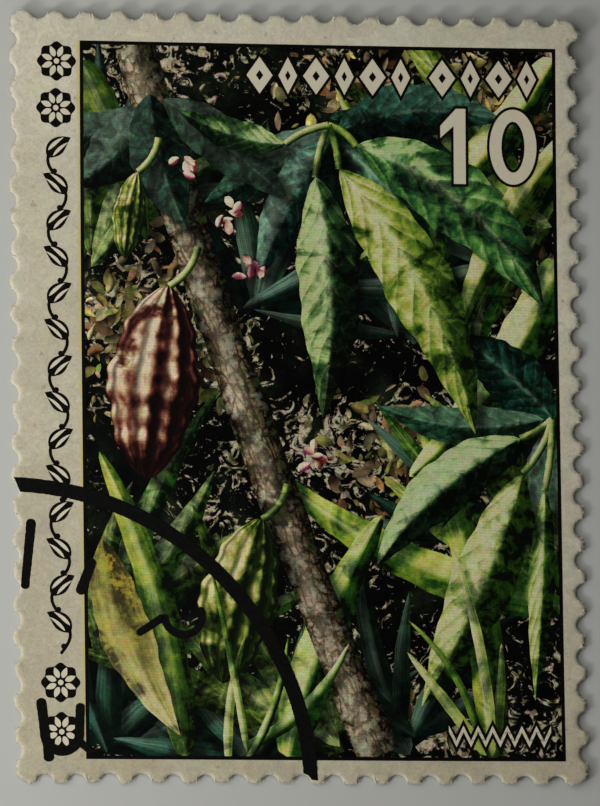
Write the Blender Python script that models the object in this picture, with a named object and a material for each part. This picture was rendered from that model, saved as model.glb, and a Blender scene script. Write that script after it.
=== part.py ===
"""A used postage stamp, lying with its printed face up.

The sheet of gummed paper is perforated along all four sides. Its print is a
stack of thin ink films, a hair apart: the picture panel, its keyline and the
margin's ornaments lie on the paper, the motifs and the number lie on the
panel, and the strokes of the postmark cross over everything. The sheet's left
and lower parts lie flat, and its right side and its top bow up a little.

The origin is under the middle of the sheet. +X runs to the picture's right,
+Y to its top and +Z out of its face. Everything is in metres.
"""

import math

import bmesh
import bpy
from mathutils import Vector

MM = 0.001

# Sheet: the perforation gauge sets its size.
PERFORATION_GAUGE = 13.5  # holes in 20 mm
PITCH = 20.0 * MM / PERFORATION_GAUGE
PITCHES_ACROSS = 18
PITCHES_UP = 24
SHEET_WIDTH = PITCHES_ACROSS * PITCH
SHEET_HEIGHT = PITCHES_UP * PITCH
HOLE_RADIUS = 0.45 * MM
CORNER_RADIUS = 0.62 * MM
WEAR_BOTTOM = 0.03 * MM  # how far the teeth have worn back, on each side
WEAR_RIGHT = 0.03 * MM
WEAR_TOP = 0.08 * MM
WEAR_LEFT = 0.14 * MM
PAPER_THICKNESS = 0.10 * MM
FILM_PITCH = 0.015 * MM  # from one film's top to the next one's
FILM_GAP = 0.001 * MM  # left under each film, so that bowed films stay apart

# Curl: beyond the middle, the right side and the top bow up, in straight steps.
CURL_START = 0.60  # of the sheet's width, and of its height
CURL_STEPS = 2
CURL_STEP = (1.0 - CURL_START) / CURL_STEPS
CURL_RIGHT = 0.16 * MM
CURL_TOP = 0.46 * MM

# Levels of the print, counted in films above the paper.
ON_PAPER = 0
ON_PANEL = 1
OVER_ALL = 2

# Picture panel: margins from the sheet's edges to the keyline's outer edge.
MARGIN_LEFT = 3.38 * MM
MARGIN_RIGHT = 1.06 * MM
MARGIN_TOP = 1.46 * MM
MARGIN_BOTTOM = 1.09 * MM
KEYLINE = 0.17 * MM
FRINGE_WIDTH = 0.16 * MM
FRINGE_OVERRUN = 0.40 * MM
PANEL_LEFT = -SHEET_WIDTH / 2 + MARGIN_LEFT
PANEL_RIGHT = SHEET_WIDTH / 2 - MARGIN_RIGHT
PANEL_TOP = SHEET_HEIGHT / 2 - MARGIN_TOP
PANEL_BOTTOM = -SHEET_HEIGHT / 2 + MARGIN_BOTTOM
PICTURE_TOP = PANEL_TOP - KEYLINE
PICTURE_BOTTOM = PANEL_BOTTOM + KEYLINE

# Left margin: a running vine between two pairs of rosettes.
VINE_X = -11.03 * MM
VINE_TOP = 11.65 * MM
VINE_BOTTOM = -11.85 * MM
VINE_WAVES = 7
VINE_SWING = 0.42 * MM
VINE_STROKE = 0.18 * MM
VINE_LEAF_LENGTH = 1.38 * MM
VINE_LEAF_WIDTH = 0.74 * MM
ROSETTE_RADIUS = 0.91 * MM
ROSETTE_PETALS = 8
ROSETTE_CENTRES = (
    (-11.03 * MM, 15.35 * MM),
    (-11.07 * MM, 13.20 * MM),
    (-11.08 * MM, -13.20 * MM),
    (-11.06 * MM, -15.45 * MM),
)

# Title row: lozenges of two widths, in one group of six and one of four.
TITLE_LEFT = -2.20 * MM
TITLE_MIDDLE = 14.87 * MM
TITLE_HEIGHT = 1.70 * MM
TITLE_STEP = 1.32 * MM
TITLE_GROUPS = (6, 4)
TITLE_GROUP_GAP = 0.62 * MM
LOZENGE_WIDE = 1.22 * MM
LOZENGE_SLIM = 0.88 * MM

# Number under the title, and the zigzag at the panel's foot.
NUMBER_MIDDLE = 11.73 * MM
NUMBER_HEIGHT = 3.48 * MM
NUMBER_STROKE = 0.56 * MM
ONE_X = 7.75 * MM
ZERO_X = 10.25 * MM
ZERO_WIDTH = 2.20 * MM
FOOT_LEFT = 6.85 * MM
FOOT_RIGHT = 11.60 * MM
FOOT_MIDDLE = -15.55 * MM
FOOT_HEIGHT = 0.70 * MM
FOOT_STROKE = 0.13 * MM
FOOT_ZIGZAGS = 7

# Motifs: start, end and sideways bulge of the middle line, and full width.
TRUNK = ((3.60 * MM, PICTURE_BOTTOM), (-7.40 * MM, PICTURE_TOP), 0.50 * MM, 1.90 * MM)
PODS = {
    "pod_ripe": ((-5.90 * MM, 5.10 * MM), (-7.00 * MM, -3.90 * MM), -0.20 * MM, 4.20 * MM),
    "pod_green": ((-1.70 * MM, -5.60 * MM), (-3.60 * MM, -13.20 * MM), -0.20 * MM, 3.50 * MM),
    "pod_young": ((-7.30 * MM, 10.30 * MM), (-7.90 * MM, 6.30 * MM), -0.10 * MM, 1.50 * MM),
}
LEAVES = {
    "leaf_upper": ((2.90 * MM, 11.70 * MM), (11.60 * MM, 4.30 * MM), 1.20 * MM, 3.30 * MM),
    "leaf_middle": ((2.10 * MM, 10.60 * MM), (8.30 * MM, -1.60 * MM), 0.90 * MM, 3.20 * MM),
    "leaf_inner": ((1.00 * MM, 10.20 * MM), (1.20 * MM, -0.90 * MM), 0.50 * MM, 2.90 * MM),
    "leaf_short": ((-0.40 * MM, 11.70 * MM), (-5.40 * MM, 13.20 * MM), 0.30 * MM, 1.50 * MM),
    "leaf_low": ((10.40 * MM, -1.80 * MM), (3.60 * MM, -7.80 * MM), -0.70 * MM, 2.50 * MM),
    "leaf_foot": ((10.50 * MM, -3.40 * MM), (5.60 * MM, -14.20 * MM), 0.30 * MM, 2.90 * MM),
    "leaf_edge": ((11.50 * MM, -4.20 * MM), (10.90 * MM, -13.90 * MM), 0.05 * MM, 1.25 * MM),
    "leaf_dried": ((-9.10 * MM, -6.60 * MM), (-5.60 * MM, -15.60 * MM), -0.60 * MM, 2.40 * MM),
}
POD_FULLNESS = 0.62
LEAF_FULLNESS = 0.90
LEAF_WIDEST = 0.80

# Postmark: part of its ring, and the loose strokes beside it. The ring's ends
# are cut aslant, so its outer and inner edges start and end at their own angles.
RING_CENTRE = (-13.46 * MM, -18.02 * MM)
RING_RADIUS = 13.87 * MM
RING_STROKE = 0.66 * MM
RING_OUTER = (math.radians(88.7), math.radians(1.7))
RING_INNER = (math.radians(87.4), math.radians(4.0))
BAR = ((-12.36 * MM, -5.90 * MM), (-12.67 * MM, -8.78 * MM), 0.0, 0.44 * MM)
DASH = ((-9.60 * MM, -7.70 * MM), (-10.12 * MM, -9.00 * MM), 0.0, 0.46 * MM)
TICK = ((-7.44 * MM, -10.90 * MM), (-6.42 * MM, -10.24 * MM), 0.0, 0.36 * MM)
HOOK_CENTRE = (-5.40 * MM, -10.12 * MM)
HOOK_RADIUS = 0.86 * MM
HOOK_STROKE = 0.36 * MM
HOOK_START = math.radians(184.0)
HOOK_END = math.radians(380.0)
CUP_LEFT = (-11.98 * MM, -13.85 * MM)  # a cup shape: two legs and a round foot
CUP_CENTRE = (-11.04 * MM, -15.55 * MM)
CUP_RADIUS = 0.78 * MM
CUP_RIGHT = (-10.20 * MM, -14.30 * MM)
CUP_STROKE = 0.44 * MM

ARC_STEPS = 8
CURVE_STEPS = 18
SNAP = 1e-7


def clear_scene():
    """Removes whatever objects the open scene holds."""
    for item in list(bpy.data.objects):
        bpy.data.objects.remove(item, do_unlink=True)


def finish(name, colour, roughness):
    """Returns a plain Principled finish."""
    material = bpy.data.materials.new(name)
    material.use_nodes = True
    shader = material.node_tree.nodes["Principled BSDF"]
    shader.inputs["Base Color"].default_value = (*colour, 1.0)
    shader.inputs["Roughness"].default_value = roughness
    shader.inputs["Metallic"].default_value = 0.0
    material.diffuse_color = (*colour, 1.0)
    return material


def add_slab(name, loops, bottom, thickness, material, place=(0.0, 0.0)):
    """Adds a flat slab: the first loop is its outline and the others are holes."""
    shape = bmesh.new()
    edges = []
    for loop in loops:
        corners = [shape.verts.new((x, y, 0.0)) for x, y in loop]
        following = corners[1:] + corners[:1]
        edges += [shape.edges.new(pair) for pair in zip(corners, following)]
    bmesh.ops.triangle_fill(shape, use_beauty=True, edges=edges)
    raised = bmesh.ops.extrude_face_region(shape, geom=shape.faces[:])
    top = [item for item in raised["geom"] if isinstance(item, bmesh.types.BMVert)]
    bmesh.ops.translate(shape, verts=top, vec=(0.0, 0.0, thickness))
    bmesh.ops.recalc_face_normals(shape, faces=shape.faces[:])
    mesh = bpy.data.meshes.new(name)
    shape.to_mesh(mesh)
    shape.free()
    mesh.materials.append(material)
    slab = bpy.data.objects.new(name, mesh)
    slab.location = (*place, bottom)
    bpy.context.collection.objects.link(slab)
    return slab


def add_film(name, loops, level, material, place=(0.0, 0.0)):
    """Adds one ink film at its level in the print."""
    bottom = PAPER_THICKNESS + level * FILM_PITCH + FILM_GAP
    return add_slab(name, loops, bottom, FILM_PITCH - FILM_GAP, material, place)


def rectangle(left, right, bottom, top):
    """Returns a rectangle's four corners."""
    return [(left, bottom), (right, bottom), (right, top), (left, top)]


def lozenge(width, height):
    """Returns a lozenge about the origin."""
    return [(width / 2, 0.0), (0.0, height / 2), (-width / 2, 0.0), (0.0, -height / 2)]


def ellipse(width, height, steps):
    """Returns an ellipse about the origin."""
    turns = [2 * math.pi * step / steps for step in range(steps)]
    return [(width / 2 * math.cos(turn), height / 2 * math.sin(turn)) for turn in turns]


def bent_line(start, end, bulge, steps=CURVE_STEPS):
    """Returns points from start to end on a parabola that bulges to the left."""
    start = Vector(start)
    along = Vector(end) - start
    sideways = Vector((-along.y, along.x)).normalized()
    fractions = [step / steps for step in range(steps + 1)]
    return [start + along * t + sideways * (4 * bulge * t * (1 - t)) for t in fractions]


def ribbon(spine, half_width):
    """Returns the outline of a band along a middle line.

    half_width gives half the band's width at each fraction of its length, and
    an end of no width is one point.
    """
    last = len(spine) - 1
    left = []
    right = []
    for index, point in enumerate(spine):
        ahead = spine[min(index + 1, last)] - spine[max(index - 1, 0)]
        normal = Vector((-ahead.y, ahead.x)).normalized()
        reach = half_width(index / last)
        left.append(point + normal * reach)
        if reach > 0.0:
            right.append(point - normal * reach)
    return [tuple(point) for point in right + left[::-1]]


def even(width):
    """Returns the half width of a band of one width."""
    return lambda fraction: width / 2


def blade(width, fullness, widest=1.0):
    """Returns the half width of a leaf or pod that runs to a point at both ends."""
    def half_width(fraction):
        if fraction in (0.0, 1.0):
            return 0.0
        return width / 2 * math.sin(math.pi * fraction ** widest) ** fullness
    return half_width


def perforated_outline():
    """Returns the sheet's outline: holes along each side, worn teeth, round corners."""
    half = Vector((SHEET_WIDTH / 2, SHEET_HEIGHT / 2))
    sides = (
        (Vector((-half.x, -half.y)), Vector((1.0, 0.0)), PITCHES_ACROSS, WEAR_BOTTOM, WEAR_LEFT),
        (Vector((half.x, -half.y)), Vector((0.0, 1.0)), PITCHES_UP, WEAR_RIGHT, WEAR_BOTTOM),
        (Vector((half.x, half.y)), Vector((-1.0, 0.0)), PITCHES_ACROSS, WEAR_TOP, WEAR_RIGHT),
        (Vector((-half.x, half.y)), Vector((0.0, -1.0)), PITCHES_UP, WEAR_LEFT, WEAR_TOP),
    )
    outline = []
    for corner, along, pitches, wear, wear_before in sides:
        inward = Vector((-along.y, along.x))
        pivot = corner + along * (CORNER_RADIUS + wear_before) + inward * (CORNER_RADIUS + wear)
        for step in range(ARC_STEPS + 1):
            turn = math.pi / 2 * step / ARC_STEPS
            outline.append(pivot - (along * math.cos(turn) + inward * math.sin(turn)) * CORNER_RADIUS)
        cut = math.asin(wear / HOLE_RADIUS)
        for hole in range(1, pitches):
            centre = corner + along * (hole * PITCH)
            for step in range(ARC_STEPS + 1):
                turn = cut + (math.pi - 2 * cut) * step / ARC_STEPS
                outline.append(centre + (inward * math.sin(turn) - along * math.cos(turn)) * HOLE_RADIUS)
    return [tuple(point) for point in outline]


def build_sheet(paper):
    """Builds the perforated sheet of paper."""
    add_slab("paper_sheet", [perforated_outline()], 0.0, PAPER_THICKNESS, paper)


def build_panel(ground, black, yellow):
    """Builds the picture's ground, its keyline and the fringe of yellow beside it."""
    outer = rectangle(PANEL_LEFT, PANEL_RIGHT, PANEL_BOTTOM, PANEL_TOP)
    inner = rectangle(PANEL_LEFT + KEYLINE, PANEL_RIGHT - KEYLINE, PICTURE_BOTTOM, PICTURE_TOP)
    add_film("keyline", [outer, inner], ON_PAPER, black)
    add_film("picture_ground", [inner], ON_PAPER, ground)
    fringe = rectangle(PANEL_LEFT - FRINGE_WIDTH, PANEL_LEFT, PANEL_BOTTOM - FRINGE_OVERRUN, PANEL_TOP)
    add_film("yellow_fringe", [fringe], ON_PAPER, yellow)


def vine_point(fraction):
    """Returns a point on the vine's stem, from its foot to its top."""
    sway = VINE_SWING * math.sin(2 * math.pi * VINE_WAVES * fraction)
    return Vector((VINE_X + sway, VINE_BOTTOM + (VINE_TOP - VINE_BOTTOM) * fraction))


def build_vine(black):
    """Builds the running vine: a waved stem with a leaf in each hollow, fused."""
    steps = VINE_WAVES * 16
    stem = [vine_point(step / steps) for step in range(steps + 1)]
    vine = add_film("side_vine", [ribbon(stem, even(VINE_STROKE))], ON_PAPER, black)
    leaves = bpy.data.collections.new("vine_leaves")
    for hollow in range(2 * VINE_WAVES):
        foot = vine_point((hollow + 0.55) / (2 * VINE_WAVES))
        side = -1.0 if hollow % 2 == 0 else 1.0
        tip = foot + Vector((side * 0.75, 0.66)).normalized() * VINE_LEAF_LENGTH
        outline = ribbon(bent_line(foot, tip, side * 0.12 * MM, 10), blade(VINE_LEAF_WIDTH, LEAF_FULLNESS))
        leaf = add_film(f"vine_leaf_{hollow:02d}", [outline], ON_PAPER, black)
        leaves.objects.link(leaf)
    union = vine.modifiers.new("leaves", "BOOLEAN")
    union.operation = "UNION"
    union.solver = "EXACT"
    union.operand_type = "COLLECTION"
    union.collection = leaves
    bpy.context.view_layer.update()
    fused = bpy.data.meshes.new_from_object(vine.evaluated_get(bpy.context.evaluated_depsgraph_get()))
    vine.modifiers.clear()
    vine.data = fused
    for leaf in list(leaves.objects):
        bpy.data.objects.remove(leaf, do_unlink=True)
    bpy.data.collections.remove(leaves)


def build_rosettes(black):
    """Builds the four petalled rosettes of the left margin."""
    steps = 64
    petals = []
    for step in range(steps):
        turn = 2 * math.pi * step / steps
        reach = ROSETTE_RADIUS * (0.90 + 0.10 * math.cos(ROSETTE_PETALS * turn))
        petals.append((reach * math.cos(turn), reach * math.sin(turn)))
    eye = ellipse(ROSETTE_RADIUS * 0.5, ROSETTE_RADIUS * 0.5, 24)
    for number, centre in enumerate(ROSETTE_CENTRES, 1):
        add_film(f"rosette_{number}", [petals, eye], ON_PAPER, black, centre)


def build_title_row(cream):
    """Builds the row of lozenges along the panel's top."""
    x = TITLE_LEFT + LOZENGE_WIDE / 2
    number = 0
    for count in TITLE_GROUPS:
        for place in range(count):
            number += 1
            width = LOZENGE_WIDE if place % 2 == 0 else LOZENGE_SLIM
            outline = lozenge(width, TITLE_HEIGHT)
            add_film(f"title_lozenge_{number:02d}", [outline], ON_PANEL, cream, (x, TITLE_MIDDLE))
            x += TITLE_STEP
        x += TITLE_GROUP_GAP


def build_number(cream):
    """Builds the plain number: a one with its flag, and a zero."""
    half = NUMBER_HEIGHT / 2
    stem = NUMBER_STROKE / 2
    flag = 0.62 * MM
    drop = 0.80 * MM
    one = [(-stem, -half), (stem, -half), (stem, half), (-stem * 0.6, half)]
    one += [(-stem - flag, half - drop), (-stem - flag, half - drop - NUMBER_STROKE), (-stem, half - drop)]
    add_film("number_one", [one], ON_PANEL, cream, (ONE_X, NUMBER_MIDDLE))
    outside = ellipse(ZERO_WIDTH, NUMBER_HEIGHT, 40)
    inside = ellipse(ZERO_WIDTH - 2 * NUMBER_STROKE, NUMBER_HEIGHT - 2 * NUMBER_STROKE, 40)
    add_film("number_zero", [outside, inside], ON_PANEL, cream, (ZERO_X, NUMBER_MIDDLE))


def build_foot_row(cream):
    """Builds the small zigzag at the panel's lower right, with its ends cut upright."""
    turns = 2 * FOOT_ZIGZAGS
    step = (FOOT_RIGHT - FOOT_LEFT) / turns
    rise = FOOT_HEIGHT / 2
    upright = FOOT_STROKE * math.hypot(step, FOOT_HEIGHT) / step  # the slanted stroke, measured upright
    spine = [(FOOT_LEFT + step * turn, FOOT_MIDDLE + rise * (-1) ** turn) for turn in range(turns + 1)]
    outline = [(x, y - upright / 2) for x, y in spine] + [(x, y + upright / 2) for x, y in reversed(spine)]
    add_film("foot_zigzag", [outline], ON_PANEL, cream)


def build_motifs(bark, rind, green, straw):
    """Builds the picture's main motifs: trunk, pods and leaves."""
    start, end, bulge, width = TRUNK
    trunk = ribbon(bent_line(start, end, bulge), even(width))
    level_ends = [(x, min(max(y, PICTURE_BOTTOM), PICTURE_TOP)) for x, y in trunk]
    add_film("trunk", [level_ends], ON_PANEL, bark)
    for name, (start, end, bulge, width) in PODS.items():
        outline = ribbon(bent_line(start, end, bulge), blade(width, POD_FULLNESS))
        add_film(name, [outline], ON_PANEL, rind)
    for name, (start, end, bulge, width) in LEAVES.items():
        outline = ribbon(bent_line(start, end, bulge), blade(width, LEAF_FULLNESS, LEAF_WIDEST))
        add_film(name, [outline], ON_PANEL, straw if name == "leaf_dried" else green)


def arc(centre, radius, start, end, steps):
    """Returns points along part of a circle, from one angle to another."""
    turns = [start + (end - start) * step / steps for step in range(steps + 1)]
    return [Vector(centre) + Vector((math.cos(turn), math.sin(turn))) * radius for turn in turns]


def build_postmark(black):
    """Builds the postmark: part of a ring, and loose strokes."""
    outer = arc(RING_CENTRE, RING_RADIUS + RING_STROKE / 2, *RING_OUTER, 40)
    inner = arc(RING_CENTRE, RING_RADIUS - RING_STROKE / 2, *RING_INNER, 40)
    ring = [tuple(point) for point in outer + inner[::-1]]
    add_film("postmark_ring", [ring], OVER_ALL, black)
    straight = {"postmark_bar": BAR, "postmark_dash": DASH, "postmark_tick": TICK}
    for name, (start, end, bulge, width) in straight.items():
        add_film(name, [ribbon(bent_line(start, end, bulge), even(width))], OVER_ALL, black)
    hook = arc(HOOK_CENTRE, HOOK_RADIUS, HOOK_START, HOOK_END, 24)
    add_film("postmark_hook", [ribbon(hook, even(HOOK_STROKE))], OVER_ALL, black)
    foot = arc(CUP_CENTRE, CUP_RADIUS, math.pi, 2 * math.pi, 16)
    cup = ribbon([Vector(CUP_LEFT), *foot, Vector(CUP_RIGHT)], even(CUP_STROKE))
    add_film("postmark_cup", [cup], OVER_ALL, black)


def bow(share, rise):
    """Returns the height of a curl, bent in straight steps, at a share of the sheet's side."""
    place = max(0.0, share - CURL_START) / CURL_STEP
    whole = math.floor(place)
    return rise * (whole ** 2 + (place - whole) * (2 * whole + 1)) / CURL_STEPS ** 2


def curl_up(slab):
    """Cuts a flat slab along the steps of the curl, and bows it up with the sheet."""
    shape = bmesh.new()
    shape.from_mesh(slab.data)
    bmesh.ops.translate(shape, verts=shape.verts[:], vec=slab.location)
    bmesh.ops.triangulate(shape, faces=shape.faces[:])
    for step in range(CURL_STEPS):
        share = CURL_START + CURL_STEP * step - 0.5
        for size, across in ((SHEET_WIDTH, Vector((1.0, 0.0, 0.0))), (SHEET_HEIGHT, Vector((0.0, 1.0, 0.0)))):
            everything = shape.verts[:] + shape.edges[:] + shape.faces[:]
            bmesh.ops.bisect_plane(
                shape, geom=everything, dist=SNAP, plane_co=across * share * size, plane_no=across)
    for corner in shape.verts:
        corner.co.z += bow(corner.co.x / SHEET_WIDTH + 0.5, CURL_RIGHT)
        corner.co.z += bow(corner.co.y / SHEET_HEIGHT + 0.5, CURL_TOP)
    bmesh.ops.triangulate(shape, faces=shape.faces[:])
    shape.to_mesh(slab.data)
    shape.free()
    slab.location = (0.0, 0.0, 0.0)


def main():
    """Builds the stamp from its sheet up."""
    clear_scene()
    paper = finish("aged_paper", (0.52, 0.48, 0.36), 0.85)
    ground = finish("picture_ground_ink", (0.010, 0.014, 0.008), 0.45)
    black = finish("black_ink", (0.010, 0.009, 0.008), 0.55)
    yellow = finish("yellow_ink", (0.42, 0.38, 0.12), 0.60)
    cream = finish("unprinted_cream", (0.45, 0.42, 0.31), 0.60)
    bark = finish("bark_ink", (0.060, 0.040, 0.025), 0.50)
    rind = finish("pod_ink", (0.090, 0.045, 0.025), 0.45)
    green = finish("leaf_ink", (0.045, 0.115, 0.035), 0.45)
    straw = finish("straw_ink", (0.28, 0.24, 0.10), 0.50)
    build_sheet(paper)
    build_panel(ground, black, yellow)
    build_vine(black)
    build_rosettes(black)
    build_title_row(cream)
    build_number(cream)
    build_foot_row(cream)
    build_motifs(bark, rind, green, straw)
    build_postmark(black)
    for slab in bpy.data.objects:
        curl_up(slab)


main()
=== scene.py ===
"""Finishes a used postage stamp: perforated paper yellowed with age, an offset picture of cocoa
pods and leaves, printed ornaments, and a black hand postmark.

Everything follows one gently cockled sheet. The ink is laid as thin meshes, on
levels half a micrometre apart, in the order in which one thing hides another.
"""

import math
import random
from dataclasses import dataclass
from functools import cached_property, lru_cache

import bmesh
import bpy
import numpy as np
from bpy.props import FloatProperty, PointerProperty, StringProperty
from mathutils import Matrix, Vector, geometry


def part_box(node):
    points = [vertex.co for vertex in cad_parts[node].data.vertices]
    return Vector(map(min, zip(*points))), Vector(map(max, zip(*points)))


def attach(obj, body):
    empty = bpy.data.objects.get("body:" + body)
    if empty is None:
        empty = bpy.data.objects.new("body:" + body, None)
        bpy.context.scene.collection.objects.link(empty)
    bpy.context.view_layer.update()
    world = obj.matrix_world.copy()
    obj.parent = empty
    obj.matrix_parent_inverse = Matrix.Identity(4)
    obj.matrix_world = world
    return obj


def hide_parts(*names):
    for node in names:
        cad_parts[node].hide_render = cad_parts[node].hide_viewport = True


bl_info = {
    "name": "Used Postage Stamp",
    "version": (1, 0, 0),
    "blender": (4, 5, 0),
    "location": "View3D > Sidebar > Stamp",
    "description": "Builds the paper, print and postmark of a used postage stamp",
    "category": "Object",
}

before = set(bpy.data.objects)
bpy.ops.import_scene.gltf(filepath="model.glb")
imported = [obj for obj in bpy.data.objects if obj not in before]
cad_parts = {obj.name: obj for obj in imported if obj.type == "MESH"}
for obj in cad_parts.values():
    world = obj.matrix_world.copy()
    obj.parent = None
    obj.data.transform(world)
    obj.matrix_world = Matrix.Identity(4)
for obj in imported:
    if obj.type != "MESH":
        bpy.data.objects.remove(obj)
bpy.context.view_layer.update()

MM = 0.001
BODY = "root"
SEED = 1977
PAPER_THICKNESS = 0.10 * MM

# Places read from the frame.
SHEET_LOW, SHEET_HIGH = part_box("paper_sheet")
PICTURE_LOW, PICTURE_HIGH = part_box("picture_ground")
KEYLINE_LOW, KEYLINE_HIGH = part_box("keyline")

# Perforation: 13.5 holes in 20 mm, 18 pitches across and 24 up.
PITCH = 20.0 * MM / 13.5
PITCHES_ACROSS = 18
PITCHES_UP = 24
SHEET_WIDTH = PITCHES_ACROSS * PITCH
SHEET_HEIGHT = PITCHES_UP * PITCH
HOLE_RADIUS = 0.45 * MM
CORNER_RADIUS = 0.62 * MM
# How far the teeth have worn back from the lines of holes, on each side.
WEAR_LEFT = SHEET_LOW.x + SHEET_WIDTH / 2
WEAR_RIGHT = SHEET_WIDTH / 2 - SHEET_HIGH.x
WEAR_BOTTOM = SHEET_LOW.y + SHEET_HEIGHT / 2
WEAR_TOP = SHEET_HEIGHT / 2 - SHEET_HIGH.y
# The sheet curls up beyond this share of its width and of its height.
CURL_START = 0.60
CORNER_LIFT = SHEET_HIGH.z - SHEET_LOW.z - PAPER_THICKNESS

# Steps between things that lie on one another in the print.
INK_STEP = 0.0005 * MM
LEVEL_MARGIN = 2
LEVEL_GROUND = 3
LEVEL_GARDEN = 4
LEVEL_ORNAMENTS = 76
LEVEL_POSTMARK = 80

# Half the side of the plain floor.
FLOOR_REACH = 0.6

# The picture's light comes from the upper left, above the page.
UP = np.array((0.0, 0.0, 1.0))
SUN = np.array((-0.58, 0.55, 0.60))
SUN /= np.linalg.norm(SUN)
GLARE_HALF = (SUN + UP) / np.linalg.norm(SUN + UP)
SHADOW_SHIFT = np.array((0.62, -0.58))


# ---------------------------------------------------------------- settings


def length(name, description, default, most, least=0.0):
    """Declares a length that the sidebar shows in the scene's units."""
    return FloatProperty(name=name, description=description, default=default, min=least, max=most,
                         subtype="DISTANCE", unit="LENGTH", precision=6)


def angle(name, description, degrees):
    """Declares an angle."""
    return FloatProperty(name=name, description=description, default=math.radians(degrees), subtype="ANGLE")


def hex_colour(name, description, default):
    """Declares an sRGB colour, written in hex."""
    return StringProperty(name=name, description=f"{description}, sRGB", default=default)


class StampPaperSettings(bpy.types.PropertyGroup):
    """Sizes and colours of the sheet."""

    cockle: length("Cockle", "Height of the sheet's gentle waves", 0.05 * MM, 0.5 * MM)
    lift: length("Corner lift", "How far the upper right corner curls up", CORNER_LIFT, 1.0 * MM)
    tear: length("Torn depth", "How ragged the tips of the teeth are", 0.055 * MM, 0.2 * MM)
    colour: hex_colour("Paper", "Aged face of the paper", "#CCC6AF")
    # The stain colour also paints shade on the face, darker towards its lower left.
    stain: hex_colour("Stain", "Darker ageing of the paper", "#A79D82")
    fibre: hex_colour("Fibre", "Torn paper at the teeth", "#D2CCB6")
    gum: hex_colour("Gummed back", "Back of the paper", "#CFC4A4")


class StampPrintSettings(bpy.types.PropertyGroup):
    """Sizes and colours of the offset print."""

    screen: length("Screen pitch", "Distance between rows of printed dots", 0.13 * MM, 0.5 * MM, 0.05 * MM)
    outline: length("Outline", "Black line round the bare ornaments", 0.125 * MM, 0.3 * MM)
    black: hex_colour("Black", "Black ink", "#090807")
    yellow: hex_colour("Yellow", "Yellow tint out of register", "#BDB26A")
    bare: hex_colour("Bare", "Paper left bare in the picture", "#CDC5AB")


class StampPostmarkSettings(bpy.types.PropertyGroup):
    """Sizes and colour of the postmark."""

    feather: length("Feather", "How unevenly the stamping ink spread at its edges", 0.006 * MM, 0.1 * MM)
    ink: hex_colour("Ink", "Stamping ink", "#0A0A09")


class StampStageSettings(bpy.types.PropertyGroup):
    """Camera, lights and floor."""

    distance: length("Distance", "Camera to sheet", 0.4588, 2.0)
    elevation: angle("Elevation", "Camera above the floor", 76.65)
    azimuth: angle("Azimuth", "Camera's bearing from +X", -143.64)
    roll: angle("Roll", "Camera's turn about its view", -0.777)
    lens: FloatProperty(name="Focal length", description="In mm on a 36 mm frame", default=447.9)
    key: FloatProperty(name="Key light", description="Power of the low light", default=0.080)
    bounce: FloatProperty(name="Bounce", description="Power of the broad light", default=0.0295)
    fill: FloatProperty(name="Fill", description="Strength of the surrounding light", default=0.08)
    floor: hex_colour("Floor", "Plain floor", "#B7B7B1")


# ---------------------------------------------------------------- materials


# How many veins leave each side of a leaf's midrib.
VEIN_PAIRS = 9.0
# Roughness and specular level of four-colour offset print.
SATIN = (0.38, 0.05)


def linear(colour):
    """Turns an sRGB hex colour into linear RGBA."""
    parts = [int(colour[start:start + 2], 16) / 255 for start in (1, 3, 5)]
    parts = [part / 12.92 if part <= 0.04045 else ((part + 0.055) / 1.055) ** 2.4 for part in parts]
    return (*parts, 1.0)


def shades(colours, places=(0.0, 0.25, 0.5, 0.75, 1.0)):
    """Pairs the colours of a ramp, from its deepest shade to its light, with places on it."""
    return tuple(zip(places, colours.split()))


def connect(tree, socket, feed):
    """Feeds a socket from a value, an sRGB colour, another socket, or a node's first output in use."""
    if isinstance(feed, bpy.types.Node):
        feed = next(output for output in feed.outputs if output.enabled)
    if isinstance(feed, bpy.types.NodeSocket):
        tree.links.new(feed, socket)
    else:
        socket.default_value = linear(feed) if isinstance(feed, str) else feed


def add_node(tree, kind, *feeds, stops=(), **named):
    """Adds a shader node. A Mix node mixes colours.

    The feeds fill the inputs in use, in their order. Of the named values, those
    with a capital are inputs too, and the others are settings.
    """
    made = tree.nodes.new("ShaderNode" + kind)
    if kind == "Mix":
        made.data_type = "RGBA"
    for name, value in named.items():
        if name.islower():
            setattr(made, name, value)
    if stops:
        ramp = made.color_ramp.elements
        while len(ramp) < len(stops):
            ramp.new(1.0)
        for stop, (position, colour) in zip(ramp, stops):
            stop.position = position
            stop.color = linear(colour)
    in_use = [socket for socket in made.inputs if socket.enabled]
    for socket, feed in zip(in_use, feeds):
        connect(tree, socket, feed)
    for name, value in named.items():
        if not name.islower():
            connect(tree, made.inputs[name], value)
    return made


def new_material(name, roughness, specular):
    """Starts a dielectric finish, and returns it with its tree and shader."""
    material = bpy.data.materials.new(name)
    material.use_nodes = True
    shader = material.node_tree.nodes["Principled BSDF"]
    values = {"Roughness": roughness, "Metallic": 0.0, "IOR": 1.5, "Specular IOR Level": specular}
    for socket, value in values.items():
        shader.inputs[socket].default_value = value
    return material, material.node_tree, shader


def millimetres(tree):
    """Returns the place on the sheet, in millimetres."""
    place = add_node(tree, "TexCoord").outputs["Object"]
    return add_node(tree, "VectorMath", place, Scale=1 / MM, operation="SCALE")


def relief(tree, shader, height, depth):
    """Adds fine relief of the given depth to a shader."""
    bump = add_node(tree, "Bump", Height=height, Distance=depth, Strength=0.6)
    connect(tree, shader.inputs["Normal"], bump)


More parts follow.
